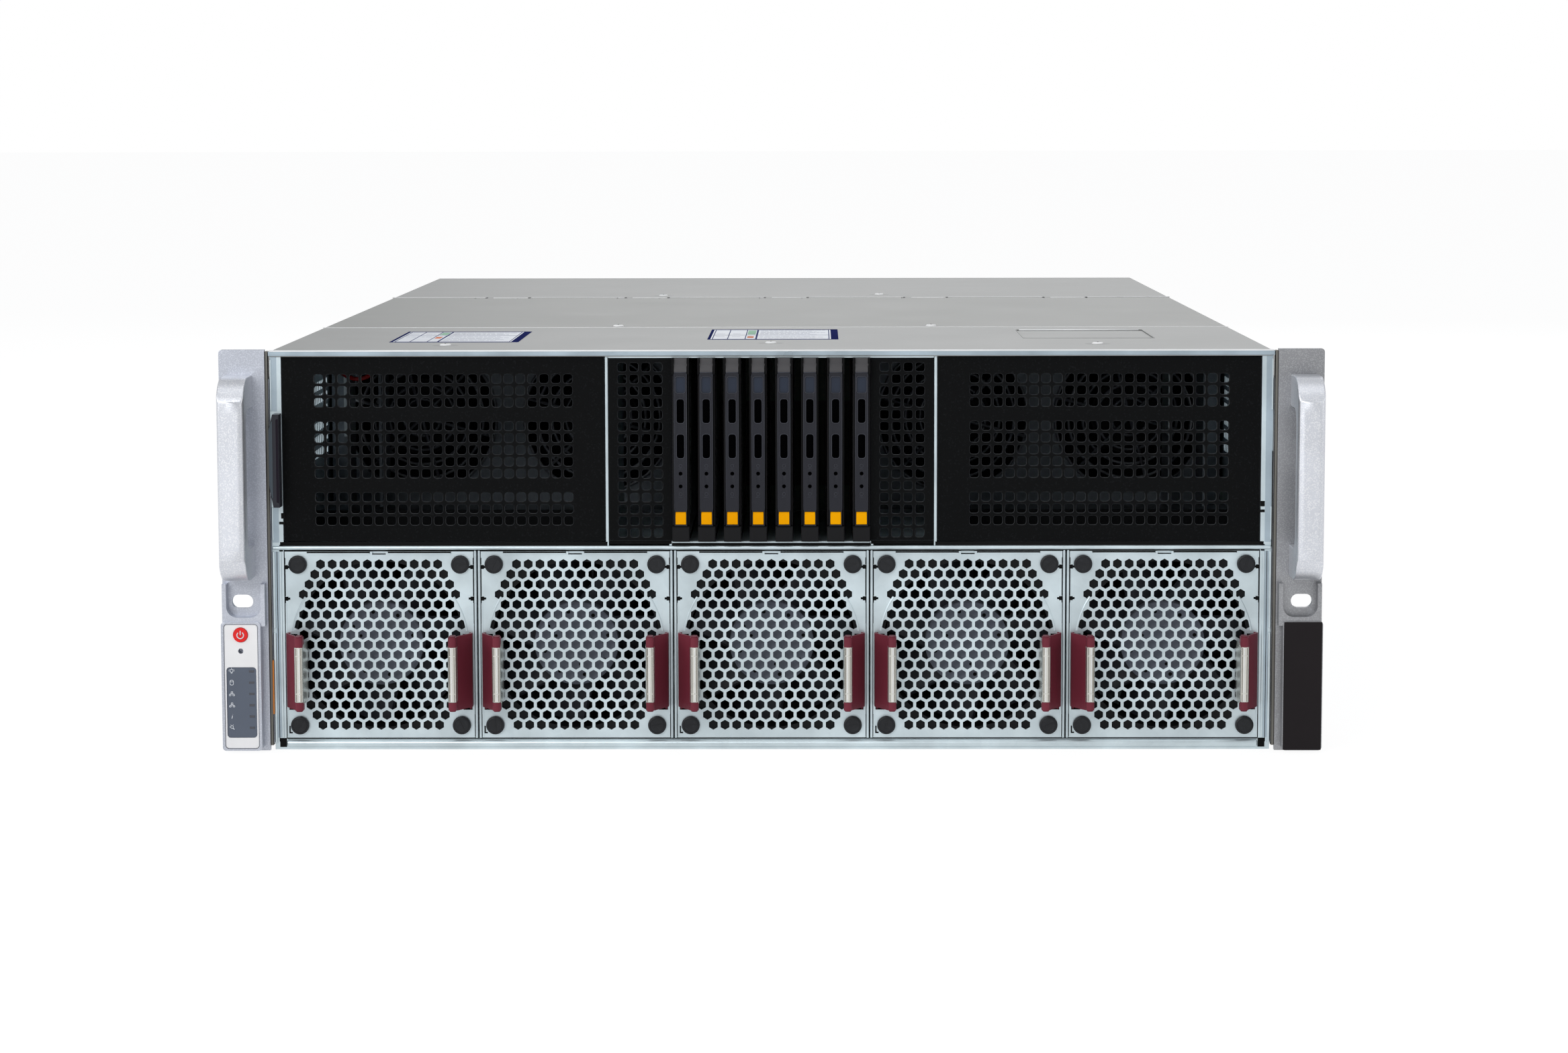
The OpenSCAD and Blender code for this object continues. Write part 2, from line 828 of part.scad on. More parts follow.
// Outline of the honeycomb, centred on the fan
module honeycomb() {
    for (row = [-hex_rows:hex_rows])
        let (
            beside_latch = row > -7 && row < 2,
            full = hex_in_row(abs(row)),
            count = beside_latch ? min(full, 13 + abs(row) % 2) : full
        )
            for (k = [0:count - 1])
                translate([(k - (count - 1) / 2) * hex_pitch, row * hex_row_pitch])
                    rotate(30)
                        circle(r = hex_af / sqrt(3), $fn = 6);
}

module module_plate() {
    slot_x0 = leaf_x + leaf_t / 2 + slide_gap - latch_slot_w;
    along_y(0, plate_t)
        difference() {
            translate([-module_w / 2, -module_h / 2])
                square([module_w, module_h]);
            honeycomb();
            for (x = SIDES, z = SIDES)
                translate([x * plug_span / 2, z * plug_span / 2])
                    circle(2.3);
            for (side = SIDES) {
                // Slot that the latch leaf passes through
                translate([side > 0 ? slot_x0 : -slot_x0 - latch_slot_w, -module_h / 2 + latch_z - latch_clear_z])
                    square([latch_slot_w, latch_h + 2 * latch_clear_z]);
                // Edge notches
                for (z = [20, 34])
                    translate([side > 0 ? module_w / 2 - 2.2 : -module_w / 2 - 1, z])
                        square([3.2, 1]);
            }
            // Notch in the upper edge
            translate([-3, module_h / 2 - 1.4])
                square([6, 3]);
        }
}

// Frame of an axial fan, with its hub cup at the rear
module fan_frame(notched) {
    cup_y = fan_depth - cup_t;
    difference() {
        union() {
            for (y = [0, fan_depth - flange_t])
                along_y(y, flange_t)
                    soft_rect(fan_size, fan_size, 4);
            along_y(0.1, fan_depth - 0.2)
                circle(duct_r + duct_wall);
        }
        along_y(-1, fan_depth + 2)
            circle(duct_r);
        if (notched)
            for (side = SIDES)
                side_box(side, [duct_r + duct_wall, -1, -module_h / 2 + latch_z - 1], [4, 8, latch_h + 2]);
    }
    difference() {
        union() {
            along_y(cup_y, cup_t)
                circle(hub_r);
            for (angle = [45:90:315])
                rotate([0, angle, 0])
                    translate([0, cup_y, -1.5])
                        cube([duct_r + 0.5, cup_t, 3]);
        }
        along_y(cup_y - 1, cup_t + 2)
            circle(shaft_r + pin_gap);
    }
}

// Rubber plug that ties the fan to its plate
module rubber_plug() {
    union() {
        along_y(-1.4 - seat_gap, 1.4)
            circle(plug_d / 2);
        along_y(-0.2, plate_t + 4)
            circle(2.1);
    }
}

module fan_basket() {
    for (side = SIDES)
        difference() {
            side_box(side, [module_w / 2 - side_t, plate_t - edge_eps, -module_h / 2],
                     [side_t, module_d - plate_t, module_h]);
            for (z = [-30, -8, 14])
                translate([side * module_w / 2 - 5, 16, z])
                    cube([10, 34, 14]);
        }
    translate([-module_w / 2, plate_t - edge_eps, -module_h / 2])
        cube([module_w, module_d - plate_t, side_t]);
    translate([-module_w / 2, plate_t - edge_eps, module_h / 2 - side_t])
        cube([module_w, 10, side_t]);
    // Plug that meets the fan board
    translate([-14, module_d - 14, -module_h / 2])
        cube([28, 18, 9]);
}

module fan_module(i) {
    color("#c9d4d8")
    translate([fan_x(i), 0, module_mid_z]) {
        union() {
            module_plate();
            fan_basket();
        }
        difference() {
            translate([0, fan_y, 0])
                fan_frame(true);
            for (x = SIDES, z = SIDES)
                translate([x * plug_span / 2, 0, z * plug_span / 2])
                    along_y(0, plate_t + 4.5)
                        circle(2.2);
        }
        for (x = SIDES, z = SIDES)
            translate([x * plug_span / 2, 0, z * plug_span / 2])
                rubber_plug();
    }
}

// One cambered blade with its root inside the hub
module fan_blade() {
    chord = 27;
    stagger = 42;
    translate([0, 0, blade_h / 2])
        rotate([stagger, 0, 0])
            rotate([90, 0, 90])
                linear_extrude(height = duct_r + 4)
                    intersection() {
                        translate([0, -blade_camber_r + 3])
                            difference() {
                                circle(blade_camber_r);
                                circle(blade_camber_r - blade_t);
                            }
                        translate([-chord / 2, -5])
                            square([chord, 10]);
                    }
}

// Rotor with its axis along Y, hub front at y = 0
module rotor() {
    translate([0, rotor_h, 0])
        rotate([90, 0, 0])
            union() {
                cylinder(r = hub_r, h = rotor_h);
                translate([0, 0, -3.2])
                    cylinder(r = shaft_r, h = 4);
                translate([0, 0, (rotor_h - blade_h) / 2])
                    intersection() {
                        cylinder(r = duct_r - tip_gap, h = blade_h);
                        for (k = [0:blade_count - 1])
                            rotate(k * 360 / blade_count)
                                fan_blade();
                    }
            }
}

module fan_rotor(i) {
    color("#3a3c40")
    translate([fan_x(i), rotor_y, module_mid_z])
        rotor();
}

// A latch on the right of a module, in the module's own place
module latch_leaf() {
    grip_y = -latch_reach;
    z0 = -module_h / 2 + latch_z;
    sleeve_z = z0 + 3.4;
    union() {
        difference() {
            translate([0, 0, z0])
                linear_extrude(height = latch_h)
                    union() {
                        polygon([
                            [leaf_x - leaf_t / 2, latch_pivot_y], [leaf_x + leaf_t / 2, latch_pivot_y],
                            [leaf_x + leaf_t / 2, -1.2], [latch_grip_x + 0.5, grip_y - 0.4],
                            [latch_grip_x - 0.3, grip_y], [leaf_x - leaf_t / 2, -1]
                        ]);
                        translate([leaf_x, latch_pivot_y])
                            circle(latch_barrel_r);
                        translate([latch_grip_x, grip_y])
                            circle(sleeve_r - 0.25);
                    }
            translate([latch_grip_x, grip_y, sleeve_z])
                cylinder(r = sleeve_r + 0.05, h = sleeve_l);
        }
    }
    // Metal sleeve clipped over the rolled edge
    translate([latch_grip_x, grip_y, sleeve_z + 0.05])
        cylinder(r = sleeve_r, h = sleeve_l - 0.1);
}

module fan_latch(i, side) {
    color("#6e2f3b")
    translate([fan_x(i), 0, module_mid_z])
        mirror([side < 0 ? 1 : 0, 0, 0])
            latch_leaf();
}

// ---- Inside ----

module mainboard() {
    fin_count = 15;
    sink_w = 74;
    memory_pitch = 7.6;
    color("#2c5a44") {
        union() {
            translate([-wall_in + board_margin, board_y, board_z])
                cube([2 * (wall_in - board_margin), board_d, board_t]);
            for (x = [-190, -60, 60, 190], y = [board_y + 8, board_y + board_d - 14])
                translate([x, y, sheet_t])
                    cylinder(r = 3, h = board_z - sheet_t + 0.1);
            // Memory in its sockets, on both sides of each processor
            for (x = [-178.8, -41.2, 41.2, 178.8], k = [-3.5:1:3.5])
                translate([x + k * memory_pitch - 3.2, board_y + 22, board_z + board_t - 0.1]) {
                    cube([6.4, 142, 7]);
                    translate([2.5, 4, 6.9])
                        cube([1.4, 134, 26]);
                }
            for (x = SIDES)
                translate([x * 110 - 30, board_y + 50, board_z + board_t - 0.1])
                    cube([60, 78, 6]);
        }
        // Heat sinks
        for (x = SIDES)
            translate([x * 110 - sink_w / 2 + 3, board_y + 38, board_z + board_t + 5.9 + seat_gap])
                union() {
                    cube([sink_w - 6, 104, 6]);
                    for (k = [0:fin_count - 1])
                        translate([k * (sink_w - 7) / (fin_count - 1), 0, 5.9])
                            cube([1, 104, 56]);
                }
        io_module();
    }
}

// Rear input and output module, with its sockets
module io_module() {
    io_x = 96.4;
    io_w = 111.2;
    io_z = 6.4;
    io_h = 33.2;
    io_d = 90;
    difference() {
        union() {
            translate([io_x, chassis_d - io_d, io_z])
                cube([io_w, io_d, io_h]);
            for (x = [io_x + 8, io_x + io_w - 14])
                translate([x, chassis_d - io_d + 10, sheet_t + seat_gap])
                    cube([6, 60, io_z - sheet_t]);
        }
        // Two network sockets, a display socket, two serial bus sockets and a vent
        for (x = [6, 24])
            translate([io_x + x, chassis_d - 14, io_z + 5])
                cube([14, 15, 12]);
        translate([io_x + 44, chassis_d - 8, io_z + 5])
            cube([17, 9, 8.5]);
        for (z = [5, 13])
            translate([io_x + 67, chassis_d - 12, io_z + z])
                cube([13.2, 13, 5.8]);
        for (k = [0:12])
            translate([io_x + 6 + k * 7.8, chassis_d - 6, io_z + 24])
                cube([4.4, 7, 4.4]);
    }
}

module graphics_card(i) {
    y_end = rear_in_y - 1.4;
    duct_w = card_w - 6;
    translate([card_x(i), 0, card_z]) {
        difference() {
            union() {
                translate([-card_w / 2, y_end - card_l, card_lift])
                    cube([card_w, card_l, card_h]);
                // Board edge that stands in the socket
                translate([-card_w / 2 + 2, y_end - 180, 3.6])
                    cube([1.6, 85, 6]);
            }
            translate([-duct_w / 2, y_end - card_l - 1, 16])
                cube([duct_w, card_l + 3, card_h - 16]);
        }
        for (k = [0:6])
            translate([-duct_w / 2 + 3.5 + k * 4, y_end - card_l + 20, 15.9])
                cube([1, card_l - 60, card_h - 15.8]);
        // Slot bracket
        difference() {
            translate([-card_w / 2, y_end - 0.1, 4])
                cube([card_w, 1.3, card_h + 8]);
            for (k = [0:6])
                translate([-14 + k * 4, y_end - 1, 20])
                    cube([2.4, 4, card_h - 28]);
        }
    }
}

module gpu_cards() {
    color("#4d5256") {
        for (i = [0:card_count - 1])
            graphics_card(i);
        // Switch board that the cards stand on
        union() {
            translate([-wall_in + 4, rear_in_y - card_l - 12, card_board_z])
                cube([2 * wall_in - 8, card_l + 8, board_t]);
            for (x = [-200, 0, 200], y = [rear_in_y - card_l - 6, rear_in_y - 20])
                translate([x, y, rear_shelf_z + sheet_t])
                    cylinder(r = 3, h = card_board_z - rear_shelf_z - sheet_t + 0.1);
            for (i = [0:card_count - 1])
                for (side = SIDES)
                    translate([card_x(i) - card_w / 2 + 2.8 + side * 2.2 - 0.8, rear_in_y - 184, card_board_z + board_t - 0.1])
                        cube([1.6, 92, 8]);
        }
    }
}

module power_supply(i) {
    y_rear = chassis_d;
    translate([psu_x(i), y_rear - psu_d, sheet_t + slide_gap]) {
        difference() {
            translate([-psu_w / 2, 0, 0])
                cube([psu_w, psu_d, psu_h]);
            // Fan opening
            along_y(psu_d - 20, 21)
                translate([16, psu_h / 2])
                    circle(17);
            // Inlet
            translate([-30, psu_d - 16, 8])
                cube([27, 17, 20]);
        }
        // Fan hub and its guard bars
        along_y(psu_d - 20.1, 16)
            translate([16, psu_h / 2])
                circle(8);
        for (angle = [0, 60, 120])
            translate([16, psu_d - 1.2, psu_h / 2])
                rotate([0, angle, 0])
                    translate([-17.3, 0, -0.6])
                        cube([34.6, 1.2, 1.2]);
        // Pull handle
        for (x = [-2, 34])
            translate([x - 0.6, psu_d - 0.1, psu_h / 2 - 3])
                cube([2.4, 16, 6]);
        translate([-2.6, psu_d + 14, psu_h / 2 - 3])
            cube([38.4, 3, 6]);
        // Edge connector
        translate([-18, -9, 6])
            cube([36, 9.1, 2]);
    }
}

module power_supplies() {
    color("#9aa0a3")
    for (i = [0:3])
        power_supply(i);
}

// Row of fans behind the drive cage, in a wall that stands on the shelf
module inner_fans() {
    wall_h = rim_z - shelf_top_z - 1;
    wall_half_w = rim_half_w - sheet_t - slide_gap;
    mid_z = shelf_top_z + wall_h / 2;
    // The largest fan, up to the size of the front ones, that the wall has room for
    fan_k = min(1, (wall_h - inner_fan_margin) / fan_size);
    color("#45484b") {
        difference() {
            translate([-wall_half_w, fan_wall_y - sheet_t - seat_gap, shelf_top_z])
                cube([2 * wall_half_w, sheet_t, wall_h]);
            for (i = FANS)
                translate([fan_x(i), 0, mid_z])
                    along_y(fan_wall_y - sheet_t - 1, sheet_t + 2)
                        circle(duct_r * fan_k);
        }
        for (i = FANS)
            translate([fan_x(i), fan_wall_y, mid_z])
                scale([fan_k, fan_k, fan_k]) {
                    fan_frame(false);
                    translate([0, 4, 0])
                        rotor();
                }
    }
}

chassis_tub();
front_cover();
middle_cover();
rear_cover();
rack_ear_left();
rack_ear_right();
handle(-1);  // handle_left
handle(1);  // handle_right
power_button();
id_card();
grille_panels();
drive_cage();
mainboard();
gpu_cards();
power_supplies();
inner_fans();
for (i = FANS) {
    fan_module(i);
    fan_rotor(i);
    fan_latch(i, -1);
    fan_latch(i, 1);
}
for (i = DRIVES) {
    drive_carrier(i);
    drive_lever(i);
    drive_button(i);
}
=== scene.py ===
import bpy, math, random
import mathutils
from mathutils import Vector, Matrix


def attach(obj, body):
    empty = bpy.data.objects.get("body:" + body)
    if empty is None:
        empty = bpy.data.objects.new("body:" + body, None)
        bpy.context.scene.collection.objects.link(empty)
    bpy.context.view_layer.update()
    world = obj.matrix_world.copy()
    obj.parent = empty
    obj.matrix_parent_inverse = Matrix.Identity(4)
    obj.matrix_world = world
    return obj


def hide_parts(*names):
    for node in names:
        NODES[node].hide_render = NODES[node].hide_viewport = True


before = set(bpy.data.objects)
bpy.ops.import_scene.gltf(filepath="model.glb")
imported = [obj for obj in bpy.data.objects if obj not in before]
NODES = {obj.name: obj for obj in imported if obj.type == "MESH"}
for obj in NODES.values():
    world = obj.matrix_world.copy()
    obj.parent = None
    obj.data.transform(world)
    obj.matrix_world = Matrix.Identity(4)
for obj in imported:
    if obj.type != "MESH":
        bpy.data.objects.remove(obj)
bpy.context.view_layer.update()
random.seed(7)
MM = 0.001
FANS = range(1, 6)
DRIVES = range(1, 9)
fan_x = {i: (i - 3) * 86.3 for i in FANS}
drive_x = {i: (i - 4.5) * 11.3 for i in DRIVES}
FAN_Z = 46.6
scene = bpy.context.scene

# ---------------------------------------------------------------- materials


def lin(c):
    """sRGB bytes to linear."""
    out = []
    for v in c:
        v = v / 255
        out.append(v / 12.92 if v <= 0.04045 else ((v + 0.055) / 1.055) ** 2.4)
    return out + [1.0]


def base_mat(name, color, rough=0.5, metal=0.0, **more):
    m = bpy.data.materials.new(name)
    m.use_nodes = True
    b = m.node_tree.nodes["Principled BSDF"]
    b.inputs["Base Color"].default_value = lin(color)
    b.inputs["Roughness"].default_value = rough
    b.inputs["Metallic"].default_value = metal
    for k, v in more.items():
        b.inputs[k.replace("_", " ")].default_value = v
    m.diffuse_color = lin(color)
    return m, m.node_tree, b


def coords(nt, scale=(1, 1, 1)):
    tc = nt.nodes.new("ShaderNodeTexCoord")
    mp = nt.nodes.new("ShaderNodeMapping")
    mp.inputs["Scale"].default_value = scale
    nt.links.new(tc.outputs["Object"], mp.inputs["Vector"])
    return mp.outputs["Vector"]


def noise(nt, vec, scale, detail=3.0, rough=0.5):
    n = nt.nodes.new("ShaderNodeTexNoise")
    n.inputs["Scale"].default_value = scale
    n.inputs["Detail"].default_value = detail
    n.inputs["Roughness"].default_value = rough
    nt.links.new(vec, n.inputs["Vector"])
    return n.outputs["Fac"]


def ramp(nt, fac, stops):
    r = nt.nodes.new("ShaderNodeValToRGB")
    e = r.color_ramp.elements
    while len(e) < len(stops):
        e.new(0.5)
    for k, (p, c) in enumerate(stops):
        e[k].position = p
        e[k].color = c
    nt.links.new(fac, r.inputs["Fac"])
    return r.outputs["Color"]


def maprange(nt, fac, a, b, lo, hi):
    r = nt.nodes.new("ShaderNodeMapRange")
    for k, v in (("From Min", a), ("From Max", b), ("To Min", lo), ("To Max", hi)):
        r.inputs[k].default_value = v
    nt.links.new(fac, r.inputs["Value"])
    return r.outputs["Result"]


def mix(nt, fac, a, b, kind="MIX"):
    m = nt.nodes.new("ShaderNodeMix")
    m.data_type = "RGBA"
    m.blend_type = kind
    for sock, v in ((m.inputs["Factor"], fac), (m.inputs["A"], a), (m.inputs["B"], b)):
        pass
    ins = {s.identifier: s for s in m.inputs}
    for ident, v in (("Factor_Float", fac), ("A_Color", a), ("B_Color", b)):
        if isinstance(v, (int, float)):
            ins[ident].default_value = v
        elif isinstance(v, (list, tuple)):
            ins[ident].default_value = v
        else:
            nt.links.new(v, ins[ident])
    return {s.identifier: s for s in m.outputs}["Result_Color"]


def bump(nt, b, height, strength, dist):
    n = nt.nodes.new("ShaderNodeBump")
    n.inputs["Strength"].default_value = strength
    n.inputs["Distance"].default_value = dist
    nt.links.new(height, n.inputs["Height"])
    nt.links.new(n.outputs["Normal"], b.inputs["Normal"])


def shade(c, k):
    return [min(255, v * k) for v in c]


def zinc(name, color, rough=0.36, metal=0.7, contrast=0.07, grain=(1, 1, 1)):
    """Zinc-plated sheet: soft clouds, faint crystals and a rolled grain."""
    m, nt, b = base_mat(name, color, rough, metal)
    v = coords(nt)
    vg = coords(nt, grain)
    cloud = noise(nt, v, 38, 4)
    cry = nt.nodes.new("ShaderNodeTexVoronoi")
    cry.inputs["Scale"].default_value = 260
    nt.links.new(v, cry.inputs["Vector"])
    c1 = ramp(nt, cloud, [(0.3, lin(shade(color, 1 - contrast))), (0.7, lin(shade(color, 1 + contrast)))])
    bw = nt.nodes.new("ShaderNodeRGBToBW")
    nt.links.new(cry.outputs["Color"], bw.inputs["Color"])
    c2 = ramp(nt, bw.outputs["Val"], [(0.0, (0.90, 0.91, 0.92, 1)), (1.0, (1, 1, 1, 1))])
    nt.links.new(mix(nt, 0.6, c1, c2, "MULTIPLY"), b.inputs["Base Color"])
    g = noise(nt, vg, 900, 2)
    nt.links.new(maprange(nt, cloud, 0.3, 0.7, rough - 0.07, rough + 0.09), b.inputs["Roughness"])
    bump(nt, b, g, 0.12, 0.00012)
    return m


def powder(name, color, rough=0.5, metal=0.0, speck=0.0, speck_color=(255, 255, 255), grain=2600, height=0.3, lo=0.60, **more):
    """Powder coat or moulded plastic: fine grain, with bright flakes where speck is above 0."""
    m, nt, b = base_mat(name, color, rough, metal, **more)
    v = coords(nt)
    cloud = noise(nt, v, 26, 3)
    fine = noise(nt, v, grain, 2)
    c = ramp(nt, cloud, [(0.3, lin(shade(color, 0.95))), (0.7, lin(shade(color, 1.04)))])
    if speck > 0:
        f = maprange(nt, noise(nt, v, grain * 0.8, 1), lo, lo + 0.12, 0.0, speck)
        c = mix(nt, f, c, lin(speck_color))
    nt.links.new(c, b.inputs["Base Color"])
    nt.links.new(maprange(nt, cloud, 0.3, 0.7, rough - 0.04, rough + 0.05), b.inputs["Roughness"])
    bump(nt, b, fine, height, 0.00015)
    return m


M = {}
M["zinc"] = zinc("zinc_sheet", (203, 216, 221))
# Painted shade: a darker copy of the zinc for the chassis inside and the supply shells, where less light reaches
M["zinc_in_shade"] = zinc("zinc_inside_shade", (132, 140, 144), 0.45)
M["zinc_dark"] = zinc("zinc_shaded", (122, 130, 138), 0.5, 0.4)
M["steel"] = zinc("bare_steel", (205, 202, 194), 0.28, 0.85, 0.04, (1, 1, 0.05))
M["cover"] = powder("cover_metal", (158, 159, 158), 0.5, 0.3, 0.12, (190, 191, 190), 1500, 0.06, Specular_IOR_Level=0.3)
M["cover_mid"] = powder("cover_metal_mid", (150, 151, 149), 0.5, 0.3, 0.12, (182, 183, 181), 1500, 0.06, Specular_IOR_Level=0.3)
# Painted highlight: near-white for the lit bends, steps and lines of the covers and latch clips; the screw heads take
# it too, bright plated metal with painted highlight
M["edge"] = powder("cover_edge_highlight", (248, 250, 251), 0.45, 0.0, grain=1500, height=0.05)
M["silver"] = powder("silver_paint", (182, 186, 196), 0.38, 0.8, 0.34, (222, 226, 234), 2400, 0.3, 0.5, Specular_IOR_Level=0.3)
# Painted shade: a darker copy of the silver paint for the right-hand ear, which gets less light
M["silver_right"] = powder("silver_paint_right_shaded", (150, 151, 154), 0.34, 0.8, 0.34, (192, 194, 198), 2400, 0.3, 0.5, Specular_IOR_Level=0.3)
# Painted highlight: a brighter copy of the ears' silver paint for the handles
M["handle"] = powder("handle_paint", (212, 215, 222), 0.4, 0.8, 0.42, (254, 254, 255), 2400, 0.26, 0.5, Specular_IOR_Level=0.4)
# Painted shade: the ears' silver leg drawn darker where it stands in the gap beside the covers
M["leg_edge"] = powder("ear_leg_edge_shade", (118, 116, 110), 0.45, 0.3, grain=2400, height=0.1)
M["flange"] = zinc("zinc_flange", (168, 183, 193), 0.34, 0.7, 0.08, (1, 1, 0.2))
LOW = {"Specular_IOR_Level": 0.12}
M["black_paint"] = powder("black_powder", (12, 13, 14), 0.6, 0.0, 0.2, (44, 46, 49), 1500, 0.25, Specular_IOR_Level=0.06)
# Painted highlight: a lighter, glossier copy of the black paint for the eased rims of the mesh holes
M["hole_rim"] = powder("hole_rim", (40, 43, 47), 0.32, 0.0, 0.0, grain=3000, height=0.05)
M["black_plastic"] = powder("black_plastic", (24, 24, 26), 0.5, 0.0, 0.0, grain=3200, height=0.12, **LOW)
M["lever"] = powder("lever_plastic", (36, 37, 44), 0.45, 0.0, 0.0, grain=3200, height=0.10, Specular_IOR_Level=0.2)
M["cap"] = powder("lever_cap", (77, 76, 78), 0.45, 0.0, 0.0, grain=3200, height=0.10, Specular_IOR_Level=0.2)
M["orange"] = powder("orange_plastic", (255, 170, 0), 0.5, 0.0, 0.0, grain=3200, height=0.06, Specular_IOR_Level=0.03)
M["red"] = powder("red_plastic", (232, 36, 34), 0.35, 0.0, 0.0, grain=3200, height=0.05, Specular_IOR_Level=0.3)
M["maroon"] = powder("maroon_plastic", (118, 46, 60), 0.45, 0.0, 0.0, grain=2800, height=0.12, Specular_IOR_Level=0.2)
M["rubber"] = powder("black_rubber", (25, 27, 31), 0.46, 0.0, 0.1, (70, 74, 80), 900, 0.3, Specular_IOR_Level=0.3)
M["fan_plastic"] = powder("fan_plastic", (22, 23, 25), 0.5, 0.0, 0.0, grain=3000, height=0.1, **LOW)
M["rotor"] = powder("rotor_plastic", (112, 116, 127), 0.5, 0.0, 0.0, grain=3000, height=0.1, Specular_IOR_Level=0.2)
M["blade"] = powder("blade_plastic", (52, 54, 60), 0.42, 0.0, 0.0, grain=3000, height=0.06, Specular_IOR_Level=0.2)
M["board"] = powder("board_green", (28, 66, 48), 0.4, 0.0, 0.05, (190, 170, 90), 900, 0.1)
M["chip"] = powder("chip_black", (30, 30, 32), 0.5, grain=3000, height=0.1)
M["alu"] = zinc("aluminium_fins", (196, 198, 200), 0.32, 0.9, 0.03)
M["shell"] = powder("card_shell", (84, 88, 92), 0.38, 0.6, 0.1, (150, 152, 156), 2200, 0.1)
# Near-black for seams, slots and holes, and for painted shade filled into recesses and gaps
M["dark"] = powder("dark_seams_and_shade", (10, 10, 11), 0.7, grain=3000, height=0.05, **LOW)
M["gold"] = powder("contact_gold", (214, 170, 80), 0.25, 0.9, grain=2000, height=0.03)
M["panel_grey"] = powder("panel_film", (246, 246, 249), 0.38, 0.0, 0.0, grain=4000, height=0.04)
M["window"] = powder("lamp_window", (94, 102, 116), 0.3, 0.0, 0.0, grain=4000, height=0.02, Specular_IOR_Level=0.3)
M["lamp"] = powder("lamp_lens", (58, 60, 70), 0.2, grain=4000, height=0.02, Coat_Weight=0.6)
M["ink"] = powder("white_ink", (222, 226, 232), 0.5, grain=4000, height=0.02)
M["ink_dark"] = powder("dark_ink", (60, 62, 68), 0.5, grain=4000, height=0.02)
M["label_black"] = powder("black_film", (31, 27, 29), 0.4, grain=4000, height=0.03, **LOW)
# Painted shade: near-black fills for the lever's finger slots and lamp holes, where the inside is unlit
M["void"] = powder("black_gap_shade", (3, 3, 4), 0.9, grain=3000, height=0.02, Specular_IOR_Level=0.0)
M["label_white"] = powder("label_paper", (222, 227, 236), 0.42, grain=3000, height=0.04)
M["label_blue"] = powder("label_border", (40, 46, 96), 0.95, grain=3000, height=0.04, Specular_IOR_Level=0.0)
M["label_line"] = powder("label_rule", (70, 78, 122), 0.95, grain=3000, height=0.04, Specular_IOR_Level=0.0)
# Painted highlight: a lighter grey than the lever for its rims, signs and side lines
M["lever_edge"] = powder("lever_edge", (62, 64, 72), 0.4, grain=3200, height=0.06, Specular_IOR_Level=0.25)
# Painted shade: a slightly darker ring round each cover screw, for the shade of its recess
M["dimple"] = powder("cover_dimple_shade", (140, 141, 141), 0.5, 0.3, grain=1500, height=0.05)
M["green_tint"] = powder("label_green", (176, 214, 190), 0.95, grain=3000, height=0.04, Specular_IOR_Level=0.0)
M["orange_tint"] = powder("label_orange", (232, 150, 120), 0.95, grain=3000, height=0.04, Specular_IOR_Level=0.0)
M["blue_glass"] = powder("lever_window", (34, 44, 62), 0.25, grain=4000, height=0.02, Specular_IOR_Level=0.3)
M["tape"] = powder("amber_tape", (212, 128, 44), 0.5, grain=2000, height=0.05)
M["label_text"] = powder("label_text", (128, 136, 158), 0.95, grain=3000, height=0.04, Specular_IOR_Level=0.0)
M["guard"] = powder("guard_wire", (132, 136, 142), 0.42, 0.2, grain=2000, height=0.06)
# Painted highlight: a lighter strip for a lit facet of the card grip
M["card_facet"] = powder("card_facet", (70, 80, 88), 0.4, grain=2600, height=0.1, Specular_IOR_Level=0.25)
M["card_shade"] = powder("card_shade", (30, 24, 34), 0.5, grain=2600, height=0.1, Specular_IOR_Level=0.1)
M["card_grip"] = powder("card_plastic", (44, 44, 52), 0.42, 0.0, 0.0, grain=2600, height=0.12, Specular_IOR_Level=0.25)
M["clip_shade"] = powder("clip_shade", (150, 146, 138), 0.4, 0.5, grain=2000, height=0.05)
M["clip"] = zinc("latch_clip", (214, 213, 206), 0.26, 0.85, 0.03, (1, 1, 0.02))
M["red_wire"] = powder("red_wire", (170, 30, 34), 0.4, grain=3000, height=0.05)
M["amber"] = powder("amber_tape", (176, 150, 96), 0.4, grain=3000, height=0.05)


# ---------------------------------------------------------------- geometry


def piece(name, verts, faces, mat, body="chassis", smooth=False, bevel=0.0, seg=2, mats=None, index=None):
    """A new mesh piece, in millimetres, riding on a body."""
    me = bpy.data.meshes.new(name)
    me.from_pydata([[c * MM for c in v] for v in verts], [], faces)
    me.validate()
    me.update()
    o = bpy.data.objects.new(name, me)
    scene.collection.objects.link(o)
    for k in (mats or [mat]):
        me.materials.append(M[k])
    if index:
        for p, k in zip(me.polygons, index):
            p.material_index = k
    for p in me.polygons:
        p.use_smooth = smooth
    if bevel:
        add_bevel(o, bevel, seg)
    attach(o, body)
    return o


def add_bevel(o, width, seg=2, angle=38, weld=False):
    if weld:
        w = o.modifiers.new("weld", "WELD")
        w.merge_threshold = 1e-6
    b = o.modifiers.new("bevel", "BEVEL")
    b.width = width * MM
    b.segments = seg
    b.limit_method = "ANGLE"
    b.angle_limit = math.radians(angle)
    b.use_clamp_overlap = True
    for p in o.data.polygons:
        p.use_smooth = True
    n = o.modifiers.new("normals", "WEIGHTED_NORMAL")
    n.keep_sharp = False


